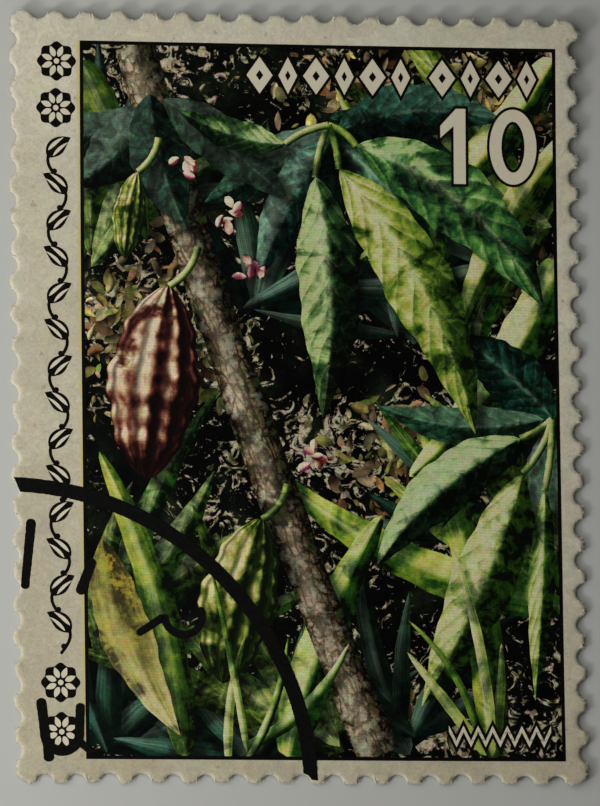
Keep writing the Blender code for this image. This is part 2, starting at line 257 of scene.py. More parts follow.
def paper_colour(tree, settings):
    """Returns the colour and the grain of the paper's face.

    Blotched and faintly tinted with age, with painted shade that darkens it
    towards the lower left, short fibres at every angle and a few brown specks.
    """
    place = millimetres(tree)
    blotch = add_node(tree, "TexNoise", Vector=place, Scale=0.16, Detail=5.0, Roughness=0.6)
    patchy = add_node(tree, "MapRange", blotch, 0.35, 0.70, -0.20, 0.30)
    height = add_node(tree, "SeparateXYZ", place)
    slope = add_node(tree, "Math", height.outputs["X"], 0.6, height.outputs["Y"], operation="MULTIPLY_ADD")
    # Painted shade: more of the stain colour towards the lower left, where the light falls off; the
    # blotches added to it are ageing.
    painted_lower_left_shade = add_node(tree, "MapRange", slope, -20.0, 12.0, 0.78, 0.12)
    age_and_painted_shade = add_node(tree, "Math", painted_lower_left_shade, patchy, operation="ADD", use_clamp=True)
    face = add_node(tree, "Mix", age_and_painted_shade, settings.colour, settings.stain)
    felt = add_node(tree, "TexNoise", Vector=place, Scale=1.9, Detail=6.0, Roughness=0.62, Distortion=1.4)
    hairs = add_node(tree, "TexNoise", Vector=place, Scale=4.2, Detail=3.0, Roughness=0.5, Distortion=3.0)
    fibres = add_node(tree, "Math", felt, hairs, operation="ADD")
    lighter = add_node(tree, "MapRange", fibres, 0.7, 1.3, 0.82, 1.16)
    foxing = add_node(tree, "TexNoise", Vector=place, Scale=0.7, Detail=4.0, Roughness=0.6)
    tinted = add_node(
        tree, "VectorMath", foxing.outputs["Color"], (0.18, 0.14, 0.26), (0.91, 0.93, 0.86),
        operation="MULTIPLY_ADD")
    toned = add_node(tree, "VectorMath", face, tinted, operation="MULTIPLY")
    grained = add_node(tree, "VectorMath", toned, Scale=lighter, operation="SCALE")
    speck = add_node(tree, "TexNoise", Vector=place, Scale=2.6, Detail=2.0, Roughness=0.4)
    spots = add_node(tree, "MapRange", speck, 0.70, 0.76, 0.0, 0.45)
    specked = add_node(tree, "Mix", spots, grained, "#8B7B58")
    return specked, fibres


def fringe_finish(paper, yellow, low):
    """Yellow tint that slipped past the keyline, on bare paper.

    Thin and uneven, fading out at its outer edge and over the last of its foot.
    """
    material, tree, shader = new_material("slipped_yellow_tint", 0.75, 0.2)
    face, fibres = paper_colour(tree, paper)
    place = millimetres(tree)
    axes = add_node(tree, "SeparateXYZ", place)
    inward = add_node(tree, "MapRange", axes.outputs["X"], low.x / MM, low.x / MM + 0.20)
    patches = add_node(tree, "TexNoise", Vector=place, Scale=0.8, Detail=5.0, Roughness=0.65)
    missed = add_node(tree, "MapRange", patches, 0.38, 0.62, -0.30, 0.55)
    kept = add_node(tree, "Math", inward, missed, operation="ADD", use_clamp=True)
    foot = add_node(tree, "MapRange", axes.outputs["Y"], low.y / MM, low.y / MM + 1.6, 0.10, 0.95)
    cover = add_node(tree, "Math", kept, foot, operation="MULTIPLY")
    inked = add_node(tree, "Mix", cover, face, yellow)
    connect(tree, shader.inputs["Base Color"], inked)
    relief(tree, shader, fibres, 0.020 * MM)
    return material


def paper_finish(settings):
    """Uncoated stamp paper, machine made and calendered.

    Matte and faintly blotched with age, with short fibres in its face, darker
    specks, and paler torn fibre where the teeth were parted.
    """
    material, tree, shader = new_material("aged_wove_paper", 0.82, 0.25)
    face, fibres = paper_colour(tree, settings)
    torn = add_node(tree, "Attribute", attribute_name="torn")
    edged = add_node(tree, "Mix", torn.outputs["Fac"], face, settings.fibre)
    connect(tree, shader.inputs["Base Color"], edged)
    relief(tree, shader, fibres, 0.020 * MM)
    return material


def plain_finish(name, colour, roughness, specular):
    """An even, matte finish, for loose torn fibre and for the floor."""
    material, tree, shader = new_material(name, roughness, specular)
    connect(tree, shader.inputs["Base Color"], colour)
    return material


def back_finish(settings):
    """Back of the paper, with what is left of its gum.

    A little yellower than the face, with a thin uneven gloss where gum remains.
    """
    material, tree, shader = new_material("washed_gum_back", 0.6, 0.35)
    place = millimetres(tree)
    wash = add_node(tree, "TexNoise", Vector=place, Scale=0.22, Detail=6.0, Roughness=0.65)
    tint = add_node(
        tree, "ValToRGB", wash, stops=((0.3, settings.gum), (0.52, "#D8CFB4"), (0.7, settings.stain)))
    fine = add_node(tree, "TexNoise", Vector=place, Scale=5.0, Detail=4.0)
    shade = add_node(tree, "MapRange", fine, 0.3, 0.7, 0.93, 1.05)
    toned = add_node(tree, "VectorMath", tint, Scale=shade, operation="SCALE")
    connect(tree, shader.inputs["Base Color"], toned)
    gloss = add_node(tree, "MapRange", wash, 0.4, 0.6, 0.5, 0.85)
    connect(tree, shader.inputs["Roughness"], gloss)
    relief(tree, shader, fine, 0.01 * MM)
    return material


def print_colour(tree, shader, colour, pitch):
    """Prints a colour on the paper: rows of screen dots, and grain where ink missed fibres."""
    place = millimetres(tree)
    turned = add_node(tree, "Mapping", Vector=place, Rotation=(0.0, 0.0, math.radians(2.0)))
    axes = add_node(tree, "SeparateXYZ", turned)
    turn = 2 * math.pi * MM / pitch
    rows = add_node(tree, "Math", axes.outputs["Y"], turn, operation="MULTIPLY")
    columns = add_node(tree, "Math", axes.outputs["X"], turn, operation="MULTIPLY")
    row_wave = add_node(tree, "Math", rows, operation="SINE")
    column_wave = add_node(tree, "Math", columns, operation="SINE")
    dots = add_node(tree, "Math", column_wave, 0.4, row_wave, operation="MULTIPLY_ADD")
    missed = add_node(tree, "TexNoise", Vector=place, Scale=6.0, Detail=3.0, Roughness=0.6)
    screened = add_node(tree, "MapRange", dots, -1.4, 1.4, 0.92, 1.08)
    grain = add_node(tree, "MapRange", missed, 0.3, 0.7, 0.88, 1.12)
    both = add_node(tree, "Math", screened, grain, operation="MULTIPLY")
    printed = add_node(tree, "VectorMath", colour, Scale=both, operation="SCALE")
    inks = add_node(tree, "TexNoise", Vector=place, Scale=2.2, Detail=4.0, Roughness=0.7)
    uneven = add_node(
        tree, "VectorMath", inks.outputs["Color"], (0.8, 0.8, 0.8), (0.6, 0.6, 0.6),
        operation="MULTIPLY_ADD")
    registered = add_node(tree, "VectorMath", printed, uneven, operation="MULTIPLY")
    connect(tree, shader.inputs["Base Color"], registered)
    relief(tree, shader, missed, 0.006 * MM)


def bleach(tree, shader, colour, glare, where, share, pitch):
    """Prints a colour, bleached toward the glare by the product of two shares."""
    shine = add_node(tree, "Math", where, share, operation="MULTIPLY")
    print_colour(tree, shader, add_node(tree, "Mix", shine, colour, glare), pitch)


def ground_finish(pitch):
    """Offset print, nearly solid in all four inks, satin.

    Deep shade between plants: near black, and in drifts a clutter of dry scraps
    that catch the sun, from cream to grey pink and olive.
    """
    material, tree, shader = new_material("offset_print_deep_shade", *SATIN)
    place = millimetres(tree)
    cloud = add_node(tree, "TexNoise", Vector=place, Scale=0.42, Detail=6.0, Roughness=0.6, Distortion=0.6)
    shade = add_node(
        tree, "ValToRGB", cloud,
        stops=shades("#010101 #030303 #070A06 #161C10 #2C2018", (0.0, 0.46, 0.56, 0.66, 0.80)))
    drift = add_node(tree, "TexNoise", Vector=place, Scale=0.17, Detail=3.0, Roughness=0.5)
    scraps = add_node(
        tree, "TexNoise", Vector=place, Scale=1.15, Detail=5.0, Roughness=0.62, Distortion=2.2)
    heaped = add_node(tree, "Math", drift, 0.55, scraps, operation="MULTIPLY_ADD")
    seen = add_node(tree, "MapRange", heaped, 0.835, 0.885, 0.0, 0.85)
    own = add_node(tree, "TexNoise", Vector=place, Scale=1.6, Detail=2.0, Distortion=1.0)
    dry = add_node(
        tree, "ValToRGB", own,
        stops=shades(
            "#2A3A22 #6E6A44 #B5A884 #C9C0A0 #8F7468 #4E5A34", (0.30, 0.40, 0.48, 0.56, 0.64, 0.74)))
    colour = add_node(tree, "Mix", seen, shade, dry)
    print_colour(tree, shader, colour, pitch)
    return material


def blade_coordinates(tree):
    """Returns along, across from -1 to 1, and distance from the midrib."""
    uv = add_node(tree, "UVMap", uv_map="Blade")
    parts = add_node(tree, "SeparateXYZ", uv)
    across = add_node(tree, "Math", parts.outputs["Y"], 2.0, -1.0, operation="MULTIPLY_ADD")
    beside = add_node(tree, "Math", across, operation="ABSOLUTE")
    return parts.outputs["X"], across, beside


def tone_parts(tree):
    """Returns the light, tint and glare that the mesh carries for this printed thing.

    Light and glare are dappled, as under the shade of leaves out of the picture.
    """
    tone = add_node(tree, "Attribute", attribute_name="tone")
    parts = add_node(tree, "SeparateColor", tone.outputs["Color"])
    canopy = add_node(
        tree, "TexNoise", Vector=millimetres(tree), Scale=0.36, Detail=4.0, Roughness=0.55, Distortion=0.9)
    passed = add_node(tree, "MapRange", canopy, 0.40, 0.50, 0.42, 1.10)
    light = add_node(tree, "Math", parts, passed, operation="MULTIPLY")
    glare = add_node(tree, "Math", parts.outputs[2], passed, operation="MULTIPLY")
    return light, parts.outputs[1], glare


def leaf_finish(pitch, name, stops, vein, glare):
    """Offset print of a broad leaf, satin.

    A pale midrib and side veins, with each strip between veins shaded as if
    pleated, and bleached glare on what faces the light.
    """
    material, tree, shader = new_material(name, *SATIN)
    light, tint, bright = tone_parts(tree)
    along, _, beside = blade_coordinates(tree)
    place = millimetres(tree)
    wobble = add_node(tree, "TexNoise", Vector=place, Scale=0.9, Detail=3.0)
    slanted = add_node(tree, "Math", beside, -0.20, along, operation="MULTIPLY_ADD")
    waved = add_node(tree, "Math", wobble, 0.03, slanted, operation="MULTIPLY_ADD")
    phase = add_node(tree, "Math", waved, VEIN_PAIRS, operation="MULTIPLY")
    strip = add_node(tree, "Math", phase, operation="FRACT")
    pleated = add_node(tree, "MapRange", strip, 0.0, 1.0, -0.30, 0.30)
    mottle = add_node(tree, "TexNoise", Vector=place, Scale=1.5, Detail=5.0, Roughness=0.65, Distortion=0.8)
    uneven = add_node(tree, "MapRange", mottle, 0.30, 0.70, -0.26, 0.26)
    factor = add_node(tree, "Math", pleated, 1.0, operation="ADD")
    lit = add_node(tree, "Math", light, factor, uneven, operation="MULTIPLY_ADD")
    colour = add_node(tree, "ValToRGB", lit, stops=stops)
    hue = add_node(tree, "MapRange", tint, 0.0, 1.0, 0.465, 0.535)
    turned = add_node(tree, "HueSaturation", Hue=hue, Color=colour)
    rib_line = add_node(tree, "MapRange", beside, 0.035, 0.09, 1.0, 0.0)
    vein_line = add_node(tree, "MapRange", strip, 0.0, 0.13, 0.75, 0.0)
    lines = add_node(tree, "Math", rib_line, vein_line, operation="MAXIMUM")
    kept = add_node(tree, "MapRange", mottle, 0.42, 0.60, 0.0, 1.0)
    broken = add_node(tree, "Math", lines, kept, operation="MULTIPLY")
    seen = add_node(tree, "Math", broken, light, operation="MULTIPLY")
    veined = add_node(tree, "Mix", seen, turned, vein)
    patch = add_node(tree, "MapRange", mottle, 0.40, 0.66, 0.35, 1.0)
    bleach(tree, shader, veined, glare, patch, bright, pitch)
    return material


def streak_finish(pitch, name, stops, glare, streaks=7.0, blot=None):
    """Offset print of long blades, dry leaf or bark, satin.

    Streaks run along the blade, broken by mottling, and glare bleaches the lit side.
    """
    material, tree, shader = new_material(name, *SATIN)
    light, tint, bright = tone_parts(tree)
    along, across, _ = blade_coordinates(tree)
    place = millimetres(tree)
    run = add_node(tree, "CombineXYZ", along, across, tint)
    drawn = add_node(tree, "Mapping", Vector=run, Scale=(2.4, streaks, 9.0))
    streak = add_node(tree, "TexNoise", Vector=drawn, Scale=1.0, Detail=4.0, Roughness=0.6)
    mottle = add_node(tree, "TexNoise", Vector=place, Scale=1.2, Detail=5.0, Roughness=0.7)
    rough = add_node(tree, "Math", streak, 0.6, mottle, operation="MULTIPLY_ADD")
    uneven = add_node(tree, "MapRange", rough, 0.5, 1.1, -0.26, 0.26)
    lit = add_node(tree, "Math", light, uneven, operation="ADD")
    colour = add_node(tree, "ValToRGB", lit, stops=stops)
    hue = add_node(tree, "MapRange", tint, 0.0, 1.0, 0.475, 0.525)
    turned = add_node(tree, "HueSaturation", Hue=hue, Color=colour)
    if blot:
        stain = add_node(tree, "MapRange", mottle, 0.53, 0.62, 0.0, 0.8)
        turned = add_node(tree, "Mix", stain, turned, blot)
    patch = add_node(tree, "MapRange", streak, 0.38, 0.62, 0.3, 1.0)
    bleach(tree, shader, turned, glare, patch, bright, pitch)
    return material


def bark_finish(pitch):
    """Offset print of a rough trunk, satin.

    Corky bark with dark cracks round raised plates, rings where leaves fell, and
    patches of grey lichen and green moss.
    """
    material, tree, shader = new_material("offset_print_bark", *SATIN)
    light, _, bright = tone_parts(tree)
    along, across, _ = blade_coordinates(tree)
    place = millimetres(tree)
    warp = add_node(tree, "TexNoise", Vector=place, Scale=1.4, Detail=4.0, Roughness=0.65)
    run = add_node(tree, "CombineXYZ", along, across, 0.0)
    drawn = add_node(tree, "Mapping", Vector=run, Scale=(46.0, 3.2, 1.0))
    bent = add_node(
        tree, "VectorMath", warp.outputs["Color"], (1.6, 1.6, 0.0), drawn, operation="MULTIPLY_ADD")
    plates = add_node(
        tree, "TexVoronoi", Vector=bent, Scale=1.0, Randomness=0.9, feature="DISTANCE_TO_EDGE")
    crack = add_node(tree, "MapRange", plates.outputs["Distance"], 0.0, 0.16, -0.34, 0.08)
    grain = add_node(tree, "TexNoise", Vector=place, Scale=3.4, Detail=4.0, Roughness=0.7)
    uneven = add_node(tree, "MapRange", grain, 0.32, 0.68, -0.22, 0.22)
    rough = add_node(tree, "Math", crack, uneven, operation="ADD")
    lit = add_node(tree, "Math", light, rough, operation="ADD")
    colour = add_node(
        tree, "ValToRGB", lit,
        stops=shades("#050403 #21180F #5C4A34 #98866A #C4B698", (0.0, 0.28, 0.55, 0.8, 1.0)))
    lichen = add_node(tree, "MapRange", warp, 0.54, 0.62, 0.0, 0.75)
    spots = add_node(tree, "Math", lichen, light, operation="MULTIPLY")
    grey = add_node(tree, "Mix", spots, colour, "#A3A88C")
    mossy = add_node(tree, "MapRange", warp, 0.46, 0.38, 0.0, 0.6)
    moss = add_node(tree, "Mix", mossy, grey, "#2E3A1A")
    bleach(tree, shader, moss, "#C4B698", bright, 0.6, pitch)
    return material


def litter_finish(pitch):
    """Offset print of dry leaf litter, satin.

    Each flake takes its own colour from straw, fawn, rust and olive.
    """
    material, tree, shader = new_material("offset_print_leaf_litter", *SATIN)
    light, tint, _ = tone_parts(tree)
    colour = add_node(
        tree, "ValToRGB", tint,
        stops=shades("#9A9250 #BFB084 #B4946A #8E6238 #66783A #CDB460", (0.0, 0.22, 0.42, 0.6, 0.78, 1.0)))
    mottle = add_node(tree, "TexNoise", Vector=millimetres(tree), Scale=3.2, Detail=4.0)
    uneven = add_node(tree, "MapRange", mottle, 0.3, 0.7, 0.55, 1.25)
    shade = add_node(tree, "Math", light, uneven, operation="MULTIPLY")
    shaded = add_node(tree, "VectorMath", colour, Scale=shade, operation="SCALE")
    print_colour(tree, shader, shaded, pitch)
    return material


def pod_finish(pitch, name, stops, furrow, glare):
    """Offset print of a ridged, warty rind, satin.

    Ridges run from stalk to tip with darker furrows, and each wart catches the light.
    """
    material, tree, shader = new_material(name, *SATIN)
    light, tint, bright = tone_parts(tree)
    along, across, _ = blade_coordinates(tree)
    place = millimetres(tree)
    run = add_node(tree, "CombineXYZ", along, across, 0.0)
    stretched = add_node(tree, "Mapping", Vector=run, Scale=(11.0, 5.0, 1.0))
    warts = add_node(tree, "TexVoronoi", Vector=stretched, Scale=1.0, Randomness=0.75)
    knob = add_node(tree, "MapRange", warts.outputs["Distance"], 0.08, 0.62, 0.20, -0.26)
    mottle = add_node(tree, "TexNoise", Vector=place, Scale=2.2, Detail=5.0, Roughness=0.7)
    uneven = add_node(tree, "MapRange", mottle, 0.3, 0.7, -0.16, 0.16)
    lumps = add_node(tree, "Math", knob, uneven, operation="ADD")
    lit = add_node(tree, "Math", light, lumps, operation="ADD")
    colour = add_node(tree, "ValToRGB", lit, stops=stops)
    groove = add_node(tree, "MapRange", tint, 0.0, 0.35, 0.75, 0.0)
    grooved = add_node(tree, "Mix", groove, colour, furrow)
    top = add_node(tree, "MapRange", warts.outputs["Distance"], 0.10, 0.34, 1.0, 0.0)
    bleach(tree, shader, grooved, glare, top, bright, pitch)
    return material


def flat_ink_finish(name, colour, worn, roughness, coarse, depth):
    """A flat ink on paper: its colour breaks a little where fibres show through."""
    material, tree, shader = new_material(name, roughness, 0.04)
    place = millimetres(tree)
    fibres = add_node(tree, "TexNoise", Vector=place, Scale=coarse, Detail=4.0, Roughness=0.7)
    thin = add_node(tree, "MapRange", fibres, 0.50, 0.80, 0.0, 0.5)
    mixed = add_node(tree, "Mix", thin, colour, worn)
    connect(tree, shader.inputs["Base Color"], mixed)
    relief(tree, shader, fibres, depth)
    return material


# ---------------------------------------------------------------- sheet


def left_of(direction):
    """Returns a direction turned a quarter to the left."""
    return Vector((-direction.y, direction.x))


def heading_at(turn):
    """Returns the unit vector at a bearing in radians."""
    return Vector((math.cos(turn), math.sin(turn)))


def sheet_height(x, y):
    """Returns how high the sheet's back stands above the floor at a place, in metres."""
    settings = bpy.context.scene.stamp_paper
    across = x / SHEET_WIDTH + 0.5
    up = y / SHEET_HEIGHT + 0.5
    top = np.clip((up - CURL_START) / (1.0 - CURL_START), 0.0, None) ** 2
    right = np.clip((across - CURL_START) / (1.0 - CURL_START), 0.0, None) ** 2
    foot = np.clip(1.0 - up / 0.20, 0.0, None) ** 2 * (0.35 + 0.65 * across)
    waves = np.sin(across * 5.3 + up * 2.1 + 0.6) + 0.6 * np.sin(up * 8.1 - across * 3.2 + 1.9)
    bow = 0.74 * top + 0.26 * right + 0.25 * foot
    return settings.lift * bow + settings.cockle * (waves + 1.6) / 2


def lay(points, level):
    """Lifts flat points onto the printed face at a level of ink, as a list of corners."""
    points = np.asarray(points, float).reshape(-1, 2)
    top = sheet_height(points[:, 0], points[:, 1]) + PAPER_THICKNESS + level * INK_STEP
    return np.column_stack((points, top)).tolist()


def add_piece(name, corners, faces, material, replaced):
    """Adds a mesh that rides with the stamp and stands for CAD nodes."""
    mesh = bpy.data.meshes.new(name)
    mesh.from_pydata(corners, [], faces)
    mesh.materials.append(material)
    mesh.update()
    piece = bpy.data.objects.new(name, mesh)
    bpy.context.collection.objects.link(piece)
    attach(piece, BODY)
    if replaced:
        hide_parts(*replaced)
    return piece


def subdivided(loop, spacing):
    """Adds points to the long edges of a closed loop, so that it can bend."""
    corners = [Vector(corner) for corner in loop]
    dense = []
    for a, b in zip(corners, corners[1:] + corners[:1]):
        steps = max(1, math.ceil((b - a).length / spacing))
        dense += [a.lerp(b, step / steps) for step in range(steps)]
    return dense


def fill_outline(loops, spacing, rims=()):
    """Triangulates flat loops with a grid of points inside, so that the result can bend.

    The first loop is the outline and the others are holes. Rims are more lines of
    edges inside. Returns points, faces and, for each point, the number of the loop
    or rim it came from, or -1.
    """
    rings = [subdivided(loop, spacing) for loop in loops]
    points, edges, owner = [], [], []
    for number, ring in enumerate(rings + [[Vector(corner) for corner in rim] for rim in rims]):
        first = len(points)
        points += [corner / MM for corner in ring]
        edges += [(first + i, first + (i + 1) % len(ring)) for i in range(len(ring))]
        owner += [number] * len(ring)
    low, high = np.min(points, axis=0), np.max(points, axis=0)
    across, up = np.maximum(1, np.round((high - low) * MM / spacing)).astype(int)
    for row in range(1, up):
        for column in range(1, across + 1):
            share = Vector(((column - 0.25 - 0.5 * (row % 2)) / across, row / up))
            points.append(Vector(low + (high - low) * np.array(share)))
    made, _, faces, origins = geometry.delaunay_2d_cdt(points, edges, [], 1, 1e-6)[:4]
    corners = np.array([point[:] for point in made]) * MM
    walls = [np.array([corner[:] for corner in ring]) for ring in rings]
    kept = []
    for face in faces:
        centre = corners[list(face)].mean(axis=0)
        if inside(centre, walls[0]) and not any(inside(centre, wall) for wall in walls[1:]):
            kept.append(list(face))
    used = sorted({corner for face in kept for corner in face})
    place = {corner: index for index, corner in enumerate(used)}
    sources = [[owner[origin] for origin in origins[corner] if origin < len(owner)] for corner in used]
    renumbered = [[place[corner] for corner in face] for face in kept]
    return corners[used], renumbered, [min(source, default=-1) for source in sources]


def inside(point, ring):
    """Tells whether a point lies inside a closed ring of corners."""
    x, y = point
    ahead = np.roll(ring, -1, axis=0)
    spans = (ring[:, 1] > y) != (ahead[:, 1] > y)
    rise = np.where(spans, ahead[:, 1] - ring[:, 1], 1.0)
    crossing = ring[:, 0] + (y - ring[:, 1]) * (ahead[:, 0] - ring[:, 0]) / rise
    return bool(np.count_nonzero(spans & (x < crossing)) % 2)


def torn_outline(tear):
    """Returns the outline of the worn sheet, ragged and smooth."""
    rng = random.Random(SEED)
    half = Vector((SHEET_WIDTH / 2, SHEET_HEIGHT / 2))
    sides = (
        (Vector((-half.x, -half.y)), Vector((1.0, 0.0)), PITCHES_ACROSS, WEAR_BOTTOM, WEAR_LEFT),
        (Vector((half.x, -half.y)), Vector((0.0, 1.0)), PITCHES_UP, WEAR_RIGHT, WEAR_BOTTOM),
        (Vector((half.x, half.y)), Vector((-1.0, 0.0)), PITCHES_ACROSS, WEAR_TOP, WEAR_RIGHT),
        (Vector((-half.x, half.y)), Vector((0.0, -1.0)), PITCHES_UP, WEAR_LEFT, WEAR_TOP),
    )
    arc_steps = 12
    tip_steps = 10
    ragged, smooth = [], []
    for corner, along, pitches, wear, wear_before in sides:
        inward = left_of(along)
        pivot = corner + along * (CORNER_RADIUS + wear_before) + inward * (CORNER_RADIUS + wear)
        for step in range(arc_steps):
            turn = math.pi / 2 * step / arc_steps
            ray = along * math.cos(turn) + inward * math.sin(turn)
            ragged.append(pivot - ray * (CORNER_RADIUS - rng.uniform(0.0, 1.2) * tear))
            smooth.append(pivot - ray * CORNER_RADIUS)
        tip_start = CORNER_RADIUS + wear_before
        for hole in range(1, pitches + 1):
            radius = HOLE_RADIUS + rng.uniform(-0.025, 0.020) * MM
            worn = wear + rng.uniform(-0.6, 1.0) * tear
            cut = math.asin(max(0.0, min(0.6, worn / radius)))
            last = hole == pitches
            tip_end = pitches * PITCH - CORNER_RADIUS if last else hole * PITCH - radius * math.cos(cut)
            lean = rng.uniform(-0.8, 0.8) * tear
            drift = 0.0
            for step in range(tip_steps):
                drift = 0.5 * drift + rng.uniform(-0.45, 0.45) * tear
                share = (step + 0.5) / tip_steps
                place = tip_start + (tip_end - tip_start) * share
                toward = 2 * share - 1
                at_corner = toward < 0 if hole == 1 else last and toward > 0
                rounded = 0.0 if at_corner else 2.2 * tear * abs(toward) ** 3 + lean * toward
                ragged.append(corner + along * place + inward * (worn + drift + rounded))
                smooth.append(corner + along * place + inward * (worn + rounded))
            if last:
                break
            centre = corner + along * (hole * PITCH) + inward * rng.uniform(-0.02, 0.02) * MM
            for step in range(arc_steps + 1):
                turn = cut + (math.pi - 2 * cut) * step / arc_steps
                ray = inward * math.sin(turn) - along * math.cos(turn)
                ragged.append(centre + ray * (radius + rng.uniform(-0.008, 0.008) * MM))
                smooth.append(centre + ray * radius)
            tip_start = hole * PITCH + radius * math.cos(cut)
    return ragged, smooth


def build_sheet_mesh(paper, back):
    """Builds the sheet: a cockled face, a plain back, and soft torn edges between them."""
    outline, smooth = torn_outline(bpy.context.scene.stamp_paper.tear)
    rims = [grown(smooth, -0.070 * MM), grown(smooth, -0.18 * MM)]
    flat, faces, ring = fill_outline([outline], 0.45 * MM, rims)
    ring = np.array(ring)
    count = len(flat)
    under = sheet_height(flat[:, 0], flat[:, 1])
    drop = np.select([ring == 0, ring == 1], [0.080 * MM, 0.028 * MM], 0.0)
    top = np.column_stack((flat, under + PAPER_THICKNESS - drop))
    bottom = np.column_stack((flat, under))
    below = [[corner + count for corner in reversed(face)] for face in faces]
    used = {(a, b) for face in faces for a, b in zip(face, face[1:] + face[:1])}
    walls = [[b, a, a + count, b + count] for a, b in sorted(used) if (b, a) not in used]
    corners = np.vstack((top, bottom)).tolist()
    faces_all = faces + below + walls
    sheet = add_piece("perforated_sheet", corners, faces_all, paper, ["paper_sheet"])
    sheet.data.materials.append(back)
    slots = [0] * len(faces) + [1] * len(below) + [0] * len(walls)
    sheet.data.polygons.foreach_set("material_index", slots)
    torn = sheet.data.attributes.new("torn", "FLOAT", "POINT")
    torn.data.foreach_set("value", np.tile(np.select([ring == 0, ring == 1], [0.70, 0.25], 0.0), 2))
    sheet.data.shade_smooth()
    sheet.data.set_sharp_from_angle(angle=math.radians(60.0))
    return sheet


def build_fibres(paper, count):
    """Builds the loose paper fibres that stand out from the torn tips of the teeth."""
    rng = random.Random(SEED + 9)
    outline = torn_outline(bpy.context.scene.stamp_paper.tear)[0]
    corners, faces = [], []
    for _ in range(count):
        spot = rng.randrange(len(outline))
        before, here = outline[spot - 1], outline[spot]
        outward = Vector((here.y - before.y, before.x - here.x)).normalized()
        from_edge = min(abs(abs(here.x) - SHEET_WIDTH / 2), abs(abs(here.y) - SHEET_HEIGHT / 2))
        reach_most = 0.15 if from_edge < 0.3 * MM else 0.07
        length = rng.uniform(0.04, reach_most) * MM
        reach = (outward + Vector((rng.uniform(-0.9, 0.9), rng.uniform(-0.9, 0.9)))).normalized() * length
        bend = left_of(reach) * rng.uniform(-0.5, 0.5)
        root = before.lerp(here, rng.random()) - outward * 0.03 * MM
        low = rng.uniform(0.15, 0.75) * PAPER_THICKNESS
        rise = rng.uniform(-0.3, 0.4) * length
        first = len(corners)
        steps = 4
        for step in range(steps + 1):
            share = step / steps
            place = root + reach * share + bend * share * (1 - share)
            base = float(sheet_height(place.x, place.y)) + low + rise * share
            thick = (0.009 - 0.006 * share) * MM
            side = left_of(reach).normalized() * thick
            corners += [(*(place - side), base), (*(place + side), base), (*place, base + thick)]
            if step:
                start = first + 3 * step
                for i, j in ((0, 1), (1, 2), (2, 0)):
                    faces.append([start - 3 + i, start - 3 + j, start + j, start + i])
        end = first + 3 * steps
        faces += [[first + 2, first + 1, first], [end, end + 1, end + 2]]
    return add_piece("torn_fibres", corners, faces, paper, [])


# ---------------------------------------------------------------- picture


@dataclass
class Motif:
    """One thing in the picture, drawn along a bent middle line, in millimetres."""

    name: str
    kind: str
    start: tuple
    end: tuple
    bulge: float
    width: float
    section: str = "leaf"  # leaf, round or ribbed
    fullness: float = 0.90
    widest: float = 0.80
    fold: float = 0.62
    curl: float = 0.25
    lean: float = 0.0
    droop: float = 1.0
    tint: float = 0.5
    gain: float = 1.0
    height: float = 0.8
    steps: tuple = (40, 12)
    level: int = 0

    def spine(self, fractions):
        """Returns the middle line's points, and its sideways and forward unit vectors."""
        start, end = np.array(self.start), np.array(self.end)
        along = end - start
        side = np.array((-along[1], along[0])) / np.linalg.norm(along)
        t = np.asarray(fractions)[:, None]
        points = start + along * t + side * (4 * self.bulge * t * (1 - t))
        heading = along + side * (4 * self.bulge * (1 - 2 * t))
        heading = heading / np.linalg.norm(heading, axis=1)[:, None]
        return points, np.column_stack((-heading[:, 1], heading[:, 0])), heading

    def half_width(self, fractions):
        """Returns half the width at fractions of the length."""
        t = np.clip(np.asarray(fractions, float), 0.0, 1.0)
        if self.section == "round":
            wobble = 0.04 * np.sin(17.0 * t + 3.0 * self.tint) + 0.03 * np.sin(41.0 * t)
            return self.width / 2 * (1.0 + wobble)
        nicked = 1.0 + 0.05 * np.sin(19.0 * t + 9.0 * self.tint) + 0.03 * np.sin(53.0 * t + 5.0 * self.tint)
        swell = np.clip(np.sin(np.pi * t ** self.widest), 0.0, None) ** self.fullness
        return self.width / 2 * nicked * swell

    def length(self):
        """Returns the straight length from start to end."""
        return float(np.linalg.norm(np.array(self.end) - np.array(self.start)))

    @cached_property
    def box(self):
        """The motif's left, bottom, right and top."""
        points, _, _ = self.spine(np.linspace(0.0, 1.0, 9))
        half = self.width / 2
        return (*(points.min(axis=0) - half), *(points.max(axis=0) + half))

    @cached_property
    def parts(self):
        """Boxes round successive parts of the motif, as rows of left, bottom, right and top."""
        points, _, _ = self.spine(np.linspace(0.0, 1.0, max(2, math.ceil(self.length() / 1.2) + 1)))
        half = self.width / 2 * 1.1
        here, there = points[:-1], points[1:]
        return np.hstack((np.minimum(here, there) - half, np.maximum(here, there) + half))

    def crosses(self, other):
        """Tells whether some part of the motif may lie on another motif."""
        mine, theirs = self.parts[:, None, :], other.parts[None, :, :]
        apart = (mine[..., :2] >= theirs[..., 2:]) | (theirs[..., :2] >= mine[..., 2:])
        return not apart.any(axis=2).all()

    def meets(self, box, shift=(0.0, 0.0), gap=0.0):
        """Tells whether the motif's box, moved by shift, comes within a gap of another box."""
        left, bottom, right, top = self.box
        return (left + shift[0] - gap < box[2] and right + shift[0] + gap > box[0]
                and bottom + shift[1] - gap < box[3] and top + shift[1] + gap > box[1])


def covered(points, motif, soft):
    """Returns how far each point lies under a motif, from 0 to 1 over a soft edge."""
    fractions = np.linspace(0.0, 1.0, 24)
    middle, side, heading = motif.spine(fractions)
    gap = points[:, None, :] - middle[None, :, :]
    nearest = np.argmin((gap ** 2).sum(axis=2), axis=1)
    own = gap[np.arange(len(nearest)), nearest]
    across = np.abs((own * side[nearest]).sum(axis=1))
    fraction = fractions[nearest] + (own * heading[nearest]).sum(axis=1) / motif.length()
    beyond = np.maximum(-fraction, fraction - 1.0) * motif.length()
    outside = np.maximum(across - motif.half_width(fraction), beyond)
    return np.clip(0.5 - outside / (2 * soft), 0.0, 1.0)


